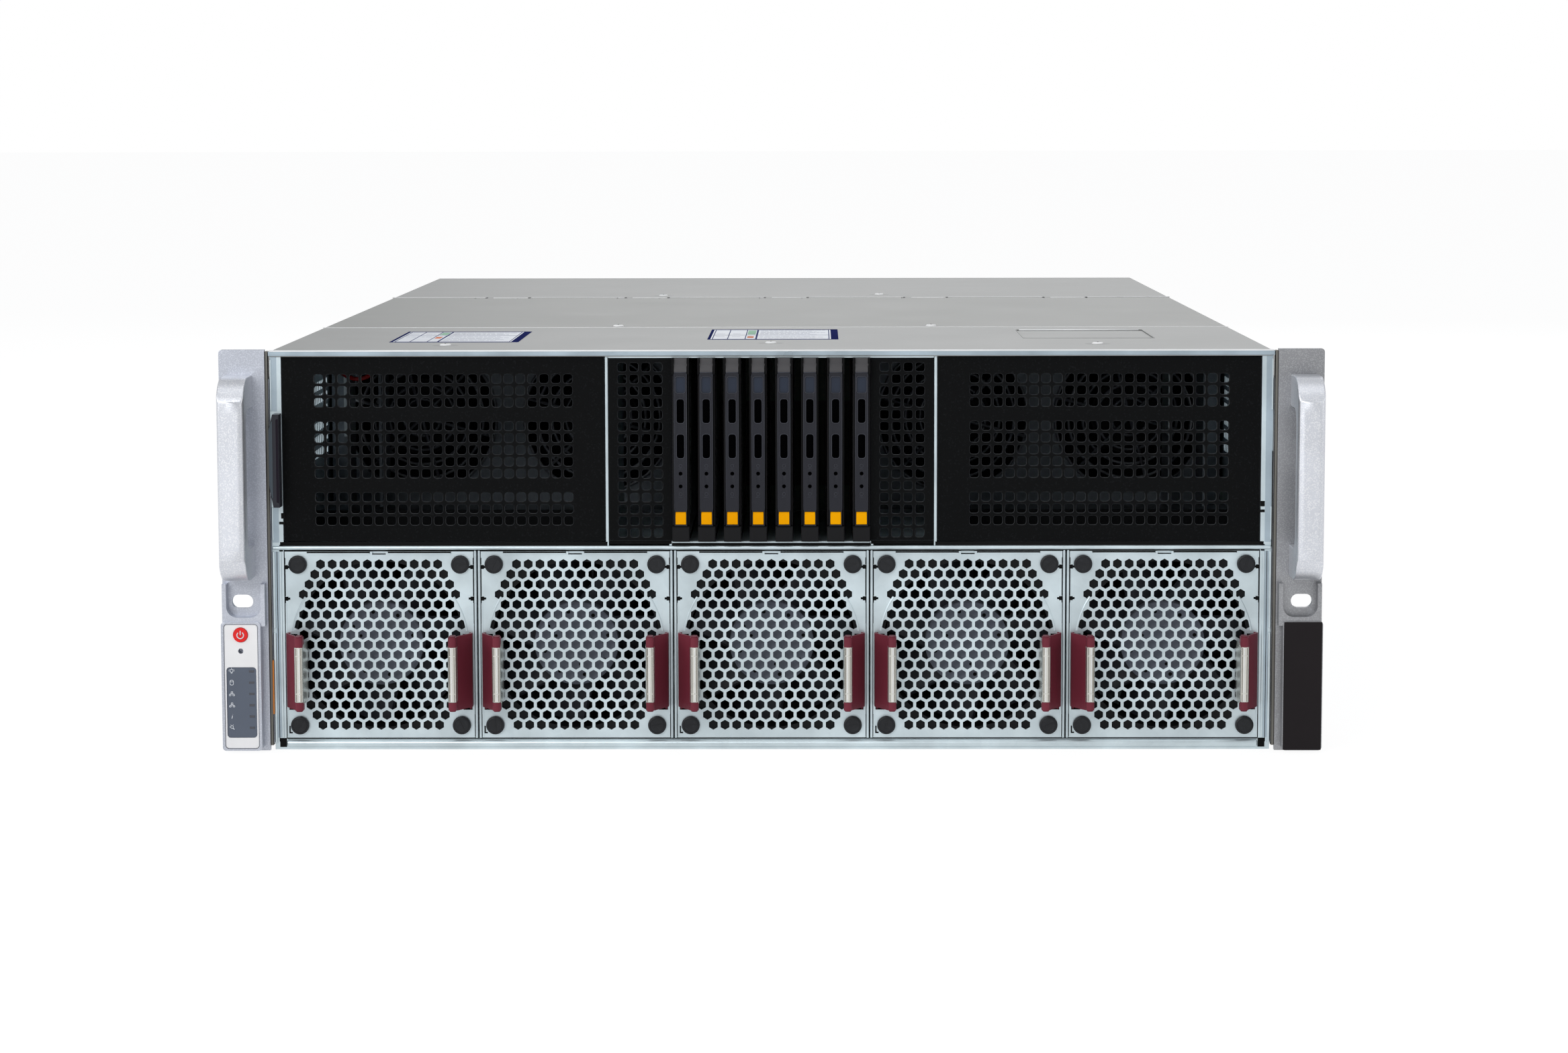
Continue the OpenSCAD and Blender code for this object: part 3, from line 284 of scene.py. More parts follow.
class Geo:
    """Collects several solids into one piece."""

    def __init__(self):
        self.v, self.f, self.k = [], [], []

    def add(self, verts, faces, k=0):
        n = len(self.v)
        self.v += [tuple(p) for p in verts]
        self.f += [tuple(n + i for i in f) for f in faces]
        self.k += [k] * len(faces)

    def box(self, lo, hi, k=0):
        (a, b, c), (d, e, f) = lo, hi
        v = [(x, y, z) for x in (a, d) for y in (b, e) for z in (c, f)]
        self.add(v, [(0, 1, 3, 2), (4, 6, 7, 5), (0, 4, 5, 1), (2, 3, 7, 6), (0, 2, 6, 4), (1, 5, 7, 3)], k)

    def prism(self, outline, y0, y1, k=0, axis="Y"):
        """An outline (first two of X,Z for axis Y; Y,Z for X; X,Y for Z) pushed along an axis."""
        n = len(outline)
        put = {"Y": lambda p, t: (p[0], t, p[1]), "X": lambda p, t: (t, p[0], p[1]), "Z": lambda p, t: (p[0], p[1], t)}[axis]
        v = [put(p, y0) for p in outline] + [put(p, y1) for p in outline]
        f = [tuple(range(n)), tuple(range(2 * n - 1, n - 1, -1))]
        f += [(i, i + n, (i + 1) % n + n, (i + 1) % n) for i in range(n)]
        self.add(v, f, k)

    def lathe(self, centre, prof, axis="Y", n=32, k=0, closed=False):
        """A profile of (radius, along) turned about an axis through centre."""
        cx, cy, cz = centre
        v, f = [], []
        for r, t in prof:
            for j in range(n):
                a = 2 * math.pi * j / n
                if axis == "Y":
                    v.append((cx + r * math.cos(a), cy + t, cz + r * math.sin(a)))
                elif axis == "Z":
                    v.append((cx + r * math.cos(a), cy + r * math.sin(a), cz + t))
                else:
                    v.append((cx + t, cy + r * math.cos(a), cz + r * math.sin(a)))
        m = len(prof)
        last = m if closed else m - 1
        for i in range(last):
            for j in range(n):
                a, b = i * n + j, i * n + (j + 1) % n
                c, d = ((i + 1) % m) * n + (j + 1) % n, ((i + 1) % m) * n + j
                f.append((a, b, c, d))
        if not closed:
            f.append(tuple(range(n)))
            f.append(tuple((m - 1) * n + j for j in range(n - 1, -1, -1)))
        self.add(v, f, k)

    def tube(self, pts, r, n=10, k=0, closed=False, cap=True):
        """A round bar along points."""
        P = [Vector(p) for p in pts]
        m = len(P)
        v, f = [], []
        up = None
        for i, p in enumerate(P):
            a = P[(i - 1) % m] if (closed or i > 0) else p
            b = P[(i + 1) % m] if (closed or i < m - 1) else p
            d = (b - a).normalized()
            if up is None:
                up = Vector((0, 0, 1)) if abs(d.z) < 0.9 else Vector((0, 1, 0))
            s = d.cross(up).normalized()
            up = s.cross(d).normalized()
            for j in range(n):
                t = 2 * math.pi * j / n
                v.append(tuple(p + r * (math.cos(t) * s + math.sin(t) * up)))
        for i in range(m if closed else m - 1):
            for j in range(n):
                a, b = i * n + j, i * n + (j + 1) % n
                c, d = ((i + 1) % m) * n + (j + 1) % n, ((i + 1) % m) * n + j
                f.append((a, d, c, b))
        if not closed and cap:
            f.append(tuple(range(n)))
            f.append(tuple((m - 1) * n + j for j in range(n - 1, -1, -1)))
        self.add(v, f, k)

    def piece(self, name, mats, body="chassis", smooth=False, bevel=0.0, seg=2, split=False):
        mats = [mats] if isinstance(mats, str) else mats
        o = piece(name, self.v, self.f, mats[0], body, smooth, bevel, seg, mats, self.k)
        if split:
            e = o.modifiers.new("split", "EDGE_SPLIT")
            e.split_angle = math.radians(35)
        return o


def rounded(cx, cz, w, h, r, n=4):
    pts = []
    for sx, sz, a0 in ((1, 1, 0), (-1, 1, 90), (-1, -1, 180), (1, -1, 270)):
        for j in range(n + 1):
            a = math.radians(a0 + 90 * j / n)
            pts.append((cx + sx * (w / 2 - r) + r * math.cos(a), cz + sz * (h / 2 - r) + r * math.sin(a)))
    return pts


def circle(cx, cz, r, n=24, a0=0.0):
    return [(cx + r * math.cos(a0 + 2 * math.pi * j / n), cz + r * math.sin(a0 + 2 * math.pi * j / n)) for j in range(n)]


def sheet(geo, outer, holes, y0, y1, b, k=0, edge_k=None):
    """A sheet facing -Y with holes, its front edges eased by b. outer and holes are functions of an offset."""
    loops_f = [outer(-b)] + [h(b) for h in holes]
    loops_m = [outer(0)] + [h(0) for h in holes]
    v, f = [], []
    starts = []
    for loop in loops_f:
        starts.append(len(v))
        v += [(x, y0, z) for x, z in loop]
    mid = len(v)
    for loop in loops_m:
        v += [(x, y0 + b, z) for x, z in loop]
    back = len(v)
    for loop in loops_m:
        v += [(x, y1, z) for x, z in loop]
    tri = mathutils.geometry.tessellate_polygon([[Vector((x, z, 0)) for x, z in loop] for loop in loops_f])
    tri_b = mathutils.geometry.tessellate_polygon([[Vector((x, z, 0)) for x, z in loop] for loop in loops_m])

    def facing(t, base):
        a, c, e = (v[base + i] for i in t)
        area = (c[0] - a[0]) * (e[2] - a[2]) - (c[2] - a[2]) * (e[0] - a[0])
        return area
    for t in tri:
        t = tuple(t)
        f.append(t if facing(t, 0) > 0 else t[::-1])
    for t in tri_b:
        t = tuple(t)
        t = t if facing(t, back) < 0 else t[::-1]
        f.append(tuple(back + i for i in t))
    for li, loop in enumerate(loops_f):
        n, s = len(loop), starts[li]
        area = sum(loop[i][0] * loop[(i + 1) % n][1] - loop[(i + 1) % n][0] * loop[i][1] for i in range(n))
        flip = (area > 0) == (li == 0)
        for i in range(n):
            j = (i + 1) % n
            q1 = (s + i, mid + s + i, mid + s + j, s + j)
            q2 = (mid + s + i, back + s + i, back + s + j, mid + s + j)
            f += [q1, q2] if flip else [q1[::-1], q2[::-1]]
    geo.add(v, f, k)
    if edge_k is not None:
        n0 = len(geo.k) - 2 * sum(len(loop) for loop in loops_f)
        for j in range(n0, len(geo.k), 2):
            geo.k[j] = edge_k


def paint(node, default, rules=()):
    """Materials of a CAD node: the first rule whose test holds for a face's centre and normal, in mm."""
    o = NODES[node]
    me = o.data
    me.materials.clear()
    for k in [default] + [r[0] for r in rules]:
        me.materials.append(M[k])
    for p in me.polygons:
        c, n = p.center / MM, p.normal
        p.material_index = 0
        for idx, (k, test) in enumerate(rules):
            if test(c, n):
                p.material_index = idx + 1
                break
    if "custom_normal" in me.attributes:
        me.attributes.remove(me.attributes["custom_normal"])
    return o


def crisp(node, bevel=0.0, seg=2, angle=38):
    """Welds a CAD node's seams, eases its edges and smooths its round faces."""
    o = NODES[node]
    if bevel:
        add_bevel(o, bevel, seg, angle, weld=True)
    else:
        w = o.modifiers.new("weld", "WELD")
        w.merge_threshold = 1e-6
        for p in o.data.polygons:
            p.use_smooth = True
        e = o.modifiers.new("split", "EDGE_SPLIT")
        e.split_angle = math.radians(32)
    return o


# ---------------------------------------------------------------- CAD nodes

# The tub's faces more than 60 mm inside take the darker zinc copy as painted shade
paint("chassis_tub", "zinc", [("zinc_in_shade", lambda c, n: c.y > 60 and abs(c.x) < 218.2 and 1.3 < c.z < 175)])
crisp("chassis_tub")
for n, k in (("front_cover", "cover"), ("middle_cover", "cover_mid"), ("rear_cover", "cover")):
    paint(n, k)
    crisp(n, 0.15)
# The right ear takes the darker silver copy as painted shade
for n, k in (("rack_ear_left", "silver"), ("rack_ear_right", "silver_right")):
    paint(n, k)
    crisp(n, 0.5, 3)
# The handles take a brighter copy of the ears' silver as painted highlight
for n in ("handle_left", "handle_right"):
    paint(n, "handle")
    crisp(n, 0.6, 3, 50)
paint("power_button", "red")
crisp("power_button", 0.25, 3)
paint("id_card", "card_grip")
crisp("id_card", 0.3)
paint("drive_cage", "zinc", [
    ("black_paint", lambda c, n: c.y < 1.4 and 43.3 < abs(c.x) < 71.45 and c.z > 91),
    ("chip", lambda c, n: 116.9 < c.y < 127.3 and abs(c.x) < 43.3 and 104 < c.z < 146),
    ("board", lambda c, n: 126.9 < c.y < 129 and abs(c.x) < 43.45)])
crisp("drive_cage")
paint("mainboard", "board", [
    ("zinc", lambda c, n: c.y > 640),
    ("alu", lambda c, n: 75 < abs(c.x) < 145 and c.z > 15.5 and 282 < c.y < 390),
    ("chip", lambda c, n: c.z > 9.7 and 266 < c.y < 412 and c.z < 17),
    ("steel", lambda c, n: c.z < 8)])
crisp("mainboard")
paint("gpu_cards", "shell", [
    ("board", lambda c, n: c.z < 52.9),
    ("chip", lambda c, n: c.z < 60.9 and c.y > 540 and c.y < 650),
    ("zinc", lambda c, n: c.y > 734.2)])
crisp("gpu_cards")
# The supply shells take the darker zinc copy as painted shade of the chassis inside
paint("power_supplies", "zinc_in_shade", [
    ("fan_plastic", lambda c, n: c.y > 736.9 and c.z > 18 and c.z < 26),
    ("dark", lambda c, n: c.y > 716 and c.y < 736.7 and abs(n.y) > 0.5),
    ("fan_plastic", lambda c, n: c.y > 715 and c.y < 736.7)])
crisp("power_supplies")
paint("inner_fans", "fan_plastic", [("zinc_dark", lambda c, n: c.y < 190.0)])
crisp("inner_fans")
for i in FANS:
    x0 = fan_x[i]

    def near_plug(c, x0=x0):
        return abs(abs(c.x - x0) - 35.75) < 4.1 and abs(abs(c.z - FAN_Z) - 35.75) < 4.1

    def is_plug(c, n, x0=x0):
        dx, dz = abs(c.x - x0) - 35.75, abs(c.z - FAN_Z) - 35.75
        return c.y < -0.01 or (math.hypot(dx, dz) < 2.15 and c.y < 5.3)
    paint(f"fan_module_{i}", "zinc", [
        ("rubber", is_plug),
        ("chip", lambda c, n: c.y > 42.9 and c.z < 14.4 and abs(c.x - x0) < 14.2),
        ("fan_plastic", lambda c, n, x0=x0: c.y > 1.25 and abs(c.x - x0) < 40.1 and abs(c.z - FAN_Z) < 40.1)])
    crisp(f"fan_module_{i}")
    paint(f"fan_rotor_{i}", "blade", [("rotor", lambda c, n, x0=x0: math.hypot(c.x - x0, c.z - FAN_Z) < 18.6)])
    crisp(f"fan_rotor_{i}")
for i in DRIVES:
    x0 = drive_x[i]
    # The carrier's front faces behind the lever take near-black: painted shade of the recess
    paint(f"drive_carrier_{i}", "black_plastic", [("dark", lambda c, n: c.y < -0.9 and n.y < -0.5 and c.z > 99), ("alu", lambda c, n, x0=x0: c.y > 5.1 and 95.5 < c.z < 170.5)])
    crisp(f"drive_carrier_{i}", 0.2)
    paint(f"drive_lever_{i}", "lever", [
        ("blue_glass", lambda c, n: 158 < c.z < 165.2 and -4.5 < c.y < -4.0 and n.y < -0.5),
        # The inner walls of the lamp holes take near-black: painted shade
        ("dark", lambda c, n: abs(c.z - 119.9) < 4 and c.y > -4.9 and c.y < -2.5),
        ("cap", lambda c, n: c.z > 167.0)])
    crisp(f"drive_lever_{i}", 0.25)
    paint(f"drive_button_{i}", "orange")
    crisp(f"drive_button_{i}", 0.12)

# ---------------------------------------------------------------- mesh panels

CAGE_X, OPEN_X = 72.8, 214.3
G_Z0, G_Z1 = 92.4, 173.6
g = Geo()
for s in (-1, 1):
    cx = s * (CAGE_X + OPEN_X) / 2
    w = OPEN_X - CAGE_X
    holes = []
    for c in range(22):
        for r in range(13):
            if r in (3, 9):
                continue
            hx = cx + (c - 10.5) * 5.2
            hz = G_Z1 - 9.6 - r * 5.2
            holes.append(lambda b, hx=hx, hz=hz: rounded(hx, hz, 4.0 + 2 * b, 4.0 + 2 * b, 1.15 + b, 3))
    sheet(g, lambda b: rounded(cx, (G_Z0 + G_Z1) / 2, w + 2 * b, G_Z1 - G_Z0 + 2 * b, 1.0, 3), holes, 0.3, 1.3, 0.16, 0, 1)
    for x in (cx - w / 2, cx + w / 2 - 1):
        g.box((x, 1.2, G_Z0 + 1), (x + 1, 12.3, G_Z1 - 1))
    for z in (G_Z0, G_Z1 - 1):
        g.box((cx - w / 2 + 1, 1.2, z), (cx + w / 2 - 1, 12.3, z + 1))
for s in (-1, 1):
    holes = []
    for c in range(4):
        for r in range(15):
            hx, hz = s * (49.55 + 5.2 * c), G_Z1 - 4.6 - 5.2 * r
            holes.append(lambda b, hx=hx, hz=hz: rounded(hx, hz, 3.9 + 2 * b, 3.9 + 2 * b, 1.1 + b, 3))
    sheet(g, lambda b: rounded(s * 57.35, 132.75, 27.7 + 2 * b, 80.0 + 2 * b, 0.5, 3), holes, -0.08, 0.28, 0.16, 0, 1)
# Material 1, on the eased rims of the holes, is a lighter black: painted highlight
grille = g.piece("mesh_panels", ["black_paint", "hole_rim"], "chassis")
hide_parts("grille_panels")

# ---------------------------------------------------------------- fan modules


def arc(cx, cz, r, a0, a1, y, n=18):
    return [(cx + r * math.cos(math.radians(a0 + (a1 - a0) * j / n)), y, cz + r * math.sin(math.radians(a0 + (a1 - a0) * j / n)))
            for j in range(n + 1)]


for i in FANS:
    x0 = fan_x[i]
    g = Geo()
    # Pressed step round the air opening
    for a0, a1 in ((9, 33), (147, 171)):
        g.tube(arc(x0, FAN_Z, 38.9, a0, a1, 0.25), 0.55, 8)
    # Folded tabs along the upper edge
    for a, b in ((-31.5, -4.2), (4.2, 31.5)):
        g.box((x0 + a, -0.55, FAN_Z + 40.15), (x0 + b, -0.02, FAN_Z + 40.8))
    # Small hems at the side edges
    for s in (-1, 1):
        g.box((x0 + s * 41.15 - 0.28, -0.3, FAN_Z - 41.2), (x0 + s * 41.15 + 0.28, -0.01, FAN_Z + 18.6))
    g.piece(f"plate_press_{i}", "zinc", f"fan_module_{i}", smooth=True, bevel=0.0, split=True)
    d = Geo()
    for a, b in ((-31.7, -4.0), (4.0, 31.7)):
        d.box((x0 + a, -0.6, FAN_Z + 40.75), (x0 + b, -0.01, FAN_Z + 41.3))
    d.box((x0 - 40.6, -0.5, FAN_Z - 39.4), (x0 - 39.2, -0.01, FAN_Z - 38.9))
    d.box((x0 - 40.6, -0.5, FAN_Z - 39.4), (x0 - 40.1, -0.01, FAN_Z - 36.2))
    for s in (-1, 1):
        for z in (20.5, 34.5):
            d.box((x0 + s * 40.9 - 0.75, -0.08, FAN_Z + z - 0.9), (x0 + s * 40.9 + 0.75, 0.9, FAN_Z + z + 0.9))
    for s in (-1, 1):
        for a, b in ((9.4, 20.4), (21.6, 34.4), (35.6, 38.6), (-40.8, -31.0)):
            d.box((x0 + s * 41.42 - 0.16, -0.06, FAN_Z + a), (x0 + s * 41.42 + 0.16, 0.6, FAN_Z + b))
    d.piece(f"plate_lines_{i}", "dark", f"fan_module_{i}")
    # Heads of the rubber plugs
    p = Geo()
    for sx in (-1, 1):
        for sz in (-1, 1):
            cx, cz = x0 + sx * 35.75, FAN_Z + sz * 35.75
            p.lathe((cx, -1.44, cz), [(4.02, 0.0), (3.98, -0.28), (3.6, -0.55), (3.2, -0.6), (3.05, -0.42), (0.01, -0.36)], "Y", 32)
            a = random.uniform(0, math.pi)
            ux, uz = math.cos(a), math.sin(a)
            e = [(cx + ux * l - uz * w, cz + uz * l + ux * w) for l, w in ((-2.7, -0.28), (2.7, -0.28), (2.7, 0.28), (-2.7, 0.28))]
            p.prism(e, -1.98, -1.78)
    p.piece(f"plug_heads_{i}", "rubber", f"fan_module_{i}", smooth=True, split=True)
    # Latches: a flat spring leaf, a moulded grip and a metal clip round it
    for side, m in (("left", -1), ("right", 1)):
        z0 = FAN_Z - 41.4 + 12.9

        def put(pts, m=m):
            return [(x0 + m * u, y) for u, y in pts][::-m]
        e = Geo()
        e.prism(put([(39.4, 5.5), (39.4, -0.7), (40.2, -0.7), (40.2, 5.5)]), z0, z0 + 32.8, axis="Z")
        e.lathe((x0 + m * 39.8, 5.5, z0), [(0.64, 0.0), (0.64, 32.8)], "Z", 16)
        e.prism(put([(39.4, -0.6), (40.2, -2.2), (39.9, -3.6), (34.4, -13.6), (35.3, -14.1), (40.8, -4.1), (41.1, -2.4), (40.2, -0.6)]), z0 + 1.4, z0 + 34.1, axis="Z")
        grip = rounded(33.5, -16.6, 3.6, 6.8, 1.55, 5)
        slim = rounded(33.5, -16.5, 3.1, 6.2, 1.4, 5)
        e.prism(put(grip), z0 + 2.1, z0 + 5.7, axis="Z")
        e.prism(put(slim), z0 + 5.6, z0 + 30.0, axis="Z")
        e.prism(put(grip), z0 + 29.9, z0 + 34.2, axis="Z")
        for z in (z0 + 1.6, z0 + 34.1):
            e.prism(put(rounded(33.5, -16.6, 2.7, 5.8, 1.2, 5)), z, z + 0.6, axis="Z")
        # The clip is one bent sheet, with a cheek that reaches back to the plate
        bow = [(35.45, -14.1), (35.45, -18.4)]
        bow += [(33.75 + 1.7 * math.cos(t), -18.5 - 1.7 * math.sin(t)) for t in [math.pi * j / 12 for j in range(1, 6)]]
        bow += [(33.75, -20.2), (33.25, -20.2)]
        bow += [(33.25 - 1.7 * math.sin(t), -18.5 - 1.7 * math.cos(t)) for t in [math.pi * j / 12 for j in range(1, 6)]]
        bow += [(31.55, -18.4), (31.55, -14.1)]
        inner = [(33.5 + (u - 33.5) * 0.86, y + (0.27 if y < -18.5 else 0.0)) for u, y in bow]
        e.prism(put(bow[::-1] + inner), z0 + 5.85, z0 + 29.95, 1, axis="Z")
        for z in (z0 + 9.4, z0 + 26.0):
            e.box((x0 + m * 33.5 - 1.2, -20.28, z), (x0 + m * 33.5 + 1.2, -20.18, z + 0.4), 1)
        # Thin lines down the clip's rounded face: two in the darker clip colour as painted shade, one near-white as
        # painted highlight
        for u, k in ((32.35, 2), (34.55, 2), (33.2, 3)):
            e.box((x0 + m * u - 0.16, -20.27, z0 + 6.1), (x0 + m * u + 0.16, -20.15, z0 + 29.7), k)
        lo, hi = sorted((x0 + m * 31.56, x0 + m * 31.84))
        e.prism(rounded(-10.9, z0 + 17.9, 15.4, 26.4, 3.0, 5)[::-1], lo, hi, 1, axis="X")
        o = e.piece(f"latch_{side}_{i}", ["maroon", "clip", "clip_shade", "edge"], f"fan_latch_{side}_{i}", smooth=True, bevel=0.18)
        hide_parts(f"fan_latch_{side}_{i}")
    # Hub face
    h = Geo()
    hy = 5.3
    h.lathe((x0, hy, FAN_Z), [(18.2, -0.02), (18.2, -0.35), (17.4, -0.6), (16.9, -0.35), (12.2, -0.35), (12.0, -0.15), (7.2, -0.15), (7.0, -0.45), (0.01, -0.5)], "Y", 48)
    h.piece(f"hub_face_{i}", "rotor", f"fan_rotor_{i}", smooth=True, split=True)
    h = Geo()
    for k in range(8):
        a = math.radians(45 * k + 14)
        h.lathe((x0 + 14.4 * math.cos(a), hy - 0.42, FAN_Z + 14.4 * math.sin(a)), [(0.85, 0.1), (0.85, 0.0)], "Y", 14)
    for k in range(3):
        a = math.radians(120 * k + 40)
        h.lathe((x0 + 9.6 * math.cos(a), hy - 0.22, FAN_Z + 9.6 * math.sin(a)), [(0.7, 0.1), (0.7, 0.0)], "Y", 12)
    h.piece(f"hub_holes_{i}", "dark", f"fan_rotor_{i}")

# ---------------------------------------------------------------- chassis front

g = Geo()
# Rounded hem of the lower lip, and the beam above the fan bays
g.lathe((-214.2, 0.15, 2.75), [(1.0, 0), (1.75, 0.4), (1.75, 428.0), (1.0, 428.4)], "X", 20)
g.lathe((-219.3, -0.02, 89.62), [(0.6, 0), (0.96, 0.25), (0.96, 438.35), (0.6, 438.6)], "X", 18)
g.piece("front_hems", "zinc", "chassis", smooth=True, split=True)
g = Geo()
for s in (-1, 1):
    # Folds of the flange beside the fan bays
    g.box((s * 216.0 - 0.45, -0.55, 5.2), (s * 216.0 + 0.45, -0.02, 88.0))
    g.box((s * 218.9 - 0.5, -0.8, 3.0), (s * 218.9 + 0.5, -0.02, 52.0))
    g.box((s * 218.9 - 0.5, -0.8, 54.0), (s * 218.9 + 0.5, -0.02, 88.0))
    g.box((s * 219.1 - 0.35, -0.45, 93.0), (s * 219.1 + 0.35, -0.02, 107.6))
    g.box((s * 219.1 - 0.35, -0.45, 150.2), (s * 219.1 + 0.35, -0.02, 172.5))
for x in [(fan_x[i] + fan_x[i + 1]) / 2 for i in range(1, 5)]:
    for s in (-1, 1):
        g.box((x + s * 0.86 - 0.34, -0.4, 5.1), (x + s * 0.86 + 0.34, -0.01, 88.4))
g.piece("front_folds", "zinc", "chassis", bevel=0.15, smooth=True)
g = Geo()
for s in (-1, 1):
    g.box((s * 217.5 - 0.14, -0.12, 3.4), (s * 217.5 + 0.14, -0.01, 88.0))
    g.box((s * 215.9 - 1.5, -0.12, 1.0), (s * 215.9 + 1.5, 0.4, 5.0))
    g.box((s * 215.6 - 0.8, -0.35, 88.1), (s * 215.6 + 0.8, 0.0, 91.0))
g.box((-214.3, -0.05, 4.62), (214.3, 0.5, 5.05))
g.box((-214.3, -0.05, 88.15), (214.3, 0.5, 88.8))
g.piece("front_seams", "dark", "chassis")
# Dark strips in the gap under the mesh panels and drive cage: painted shadow of the panels' lower flange
g = Geo()
g.box((-43.6, -0.5, 90.5), (43.6, 0.28, 91.72))
for s in (-1, 1):
    g.box((s * 144.0 - 72, -0.2, 90.5), (s * 144.0 + 72, 0.28, 92.2))
g.piece("beam_gap_shadow", "dark", "chassis")
# The covers' front bend, tabs and seams
g = Geo()
g.box((-219.9, -1.42, 174.15), (219.9, -1.0, 176.1))
for x0, x1 in ((-219.8, -60.5), (-59.7, 61.0), (61.8, 219.8)):
    g.box((x0, -1.5, 174.5), (x1, -1.38, 175.6))
g.piece("cover_lip", "flange", "chassis", bevel=0.1, smooth=True)
# Near-white strips on the front cover's bend and at its seam step: painted highlight
g = Geo()
g.box((-219.3, -1.5, 176.0), (219.3, -0.4, 176.62))
g.box((-219.2, 177.15, 176.42), (219.2, 177.75, 176.68))
g.piece("front_cover_edge_highlight", "edge", "chassis", bevel=0.08, smooth=True)
# Near-white lines on the rear cover's front step and tabs: painted highlight
g = Geo()
for i in range(6):
    a = -219.2 + i * 78.4
    g.box((a, 478.35, 176.42), (min(a + 53.2, 219.2), 479.1, 176.86))
for i in range(5):
    a = -163.0 + i * 78.4
    g.box((a + 1.2, 474.9, 176.42), (a + 20.4, 475.8, 176.78))
g.piece("rear_cover_edge_highlight", "edge", "rear_cover", bevel=0.08, smooth=True)
g = Geo()
g.box((-219.2, 177.75, 176.4), (219.2, 178.05, 176.53))
g.piece("front_cover_seam", "dark", "chassis")
g = Geo()
for i in range(5):
    a = -166.0 + i * 78.4
    for x in (a + 0.2, a + 24.4):
        g.box((x - 0.6, 473.6, 176.4), (x + 0.6, 478.2, 176.7))
g.box((-219.2, 478.0, 176.4), (219.2, 478.3, 176.53))
g.piece("rear_cover_seam", "dark", "middle_cover")
# Edge of each ear's side leg, in the gap beside the covers, drawn in a darker grey than the ear's silver as painted
# shade
for side, m in (("left", -1), ("right", 1)):
    g = Geo()
    g.box((m * 220.65 - 0.72, -1.62, 2.0), (m * 220.65 + 0.72, 2.5, 176.2))
    g.piece(f"ear_leg_{side}", "leg_edge", "chassis", smooth=True, bevel=0.25)
    g = Geo()
    for u in (219.98, 221.32):
        g.box((m * u - 0.14, -1.7, 2.5), (m * u + 0.14, -1.1, 175.9))
    g.piece(f"ear_leg_line_{side}", "dark", "chassis")
# Darker zinc faces laid over the side flanges
g = Geo()
for x0, x1, z0, z1 in ((-219.35, -216.4, 149.8, 173.9), (-219.35, -216.4, 92.0, 107.4), (216.4, 219.35, 92.0, 173.9), (-218.3, -216.6, 5.2, 88.0), (216.6, 218.3, 5.2, 88.0)):
    g.box((x0, -0.04, z0), (x1, 0.0, z1))
g.piece("flange_faces", "flange", "chassis")
g = Geo()
g.box((-220.0, -1.9, 16.0), (-219.4, -1.0, 40.0))
g.piece("side_tape", "tape", "chassis")
g = Geo()
g.box((219.3, -0.9, 90.0), (220.3, -0.2, 132.0))
for a, b, c in ((-216.3, 100.0, 1), (213.6, 105.0, 1)):
    g.box((a, -0.06, b), (a + 2.7, 0.2, b + 1.2))
    g.box((a + 0.9, -0.06, b + 2.6), (a + 2.7, 0.2, b + 5.0))
g.piece("front_notches", "dark", "chassis")
# Dark backing that closes the view past the inner fans: a sheet of painted shade for the unlit inside
g = Geo()
g.box((-216, 240.0, 92.0), (216, 240.6, 174.8))
g.piece("inner_backing_shade", "dark", "chassis")
# Edges of the drive cage: bright uprights, sill and head
g = Geo()
for s in (-1, 1):
    g.box((s * 72.0 - 0.55, -0.35, 92.3), (s * 72.0 + 0.55, -0.01, 173.4))
g.box((-43.2, -0.6, 91.75), (43.2, -0.02, 92.35))
g.box((-71.2, -0.3, 173.05), (71.2, 0.25, 173.8))
g.piece("cage_edges", "zinc", "chassis", bevel=0.12, smooth=True)

# ---------------------------------------------------------------- drives

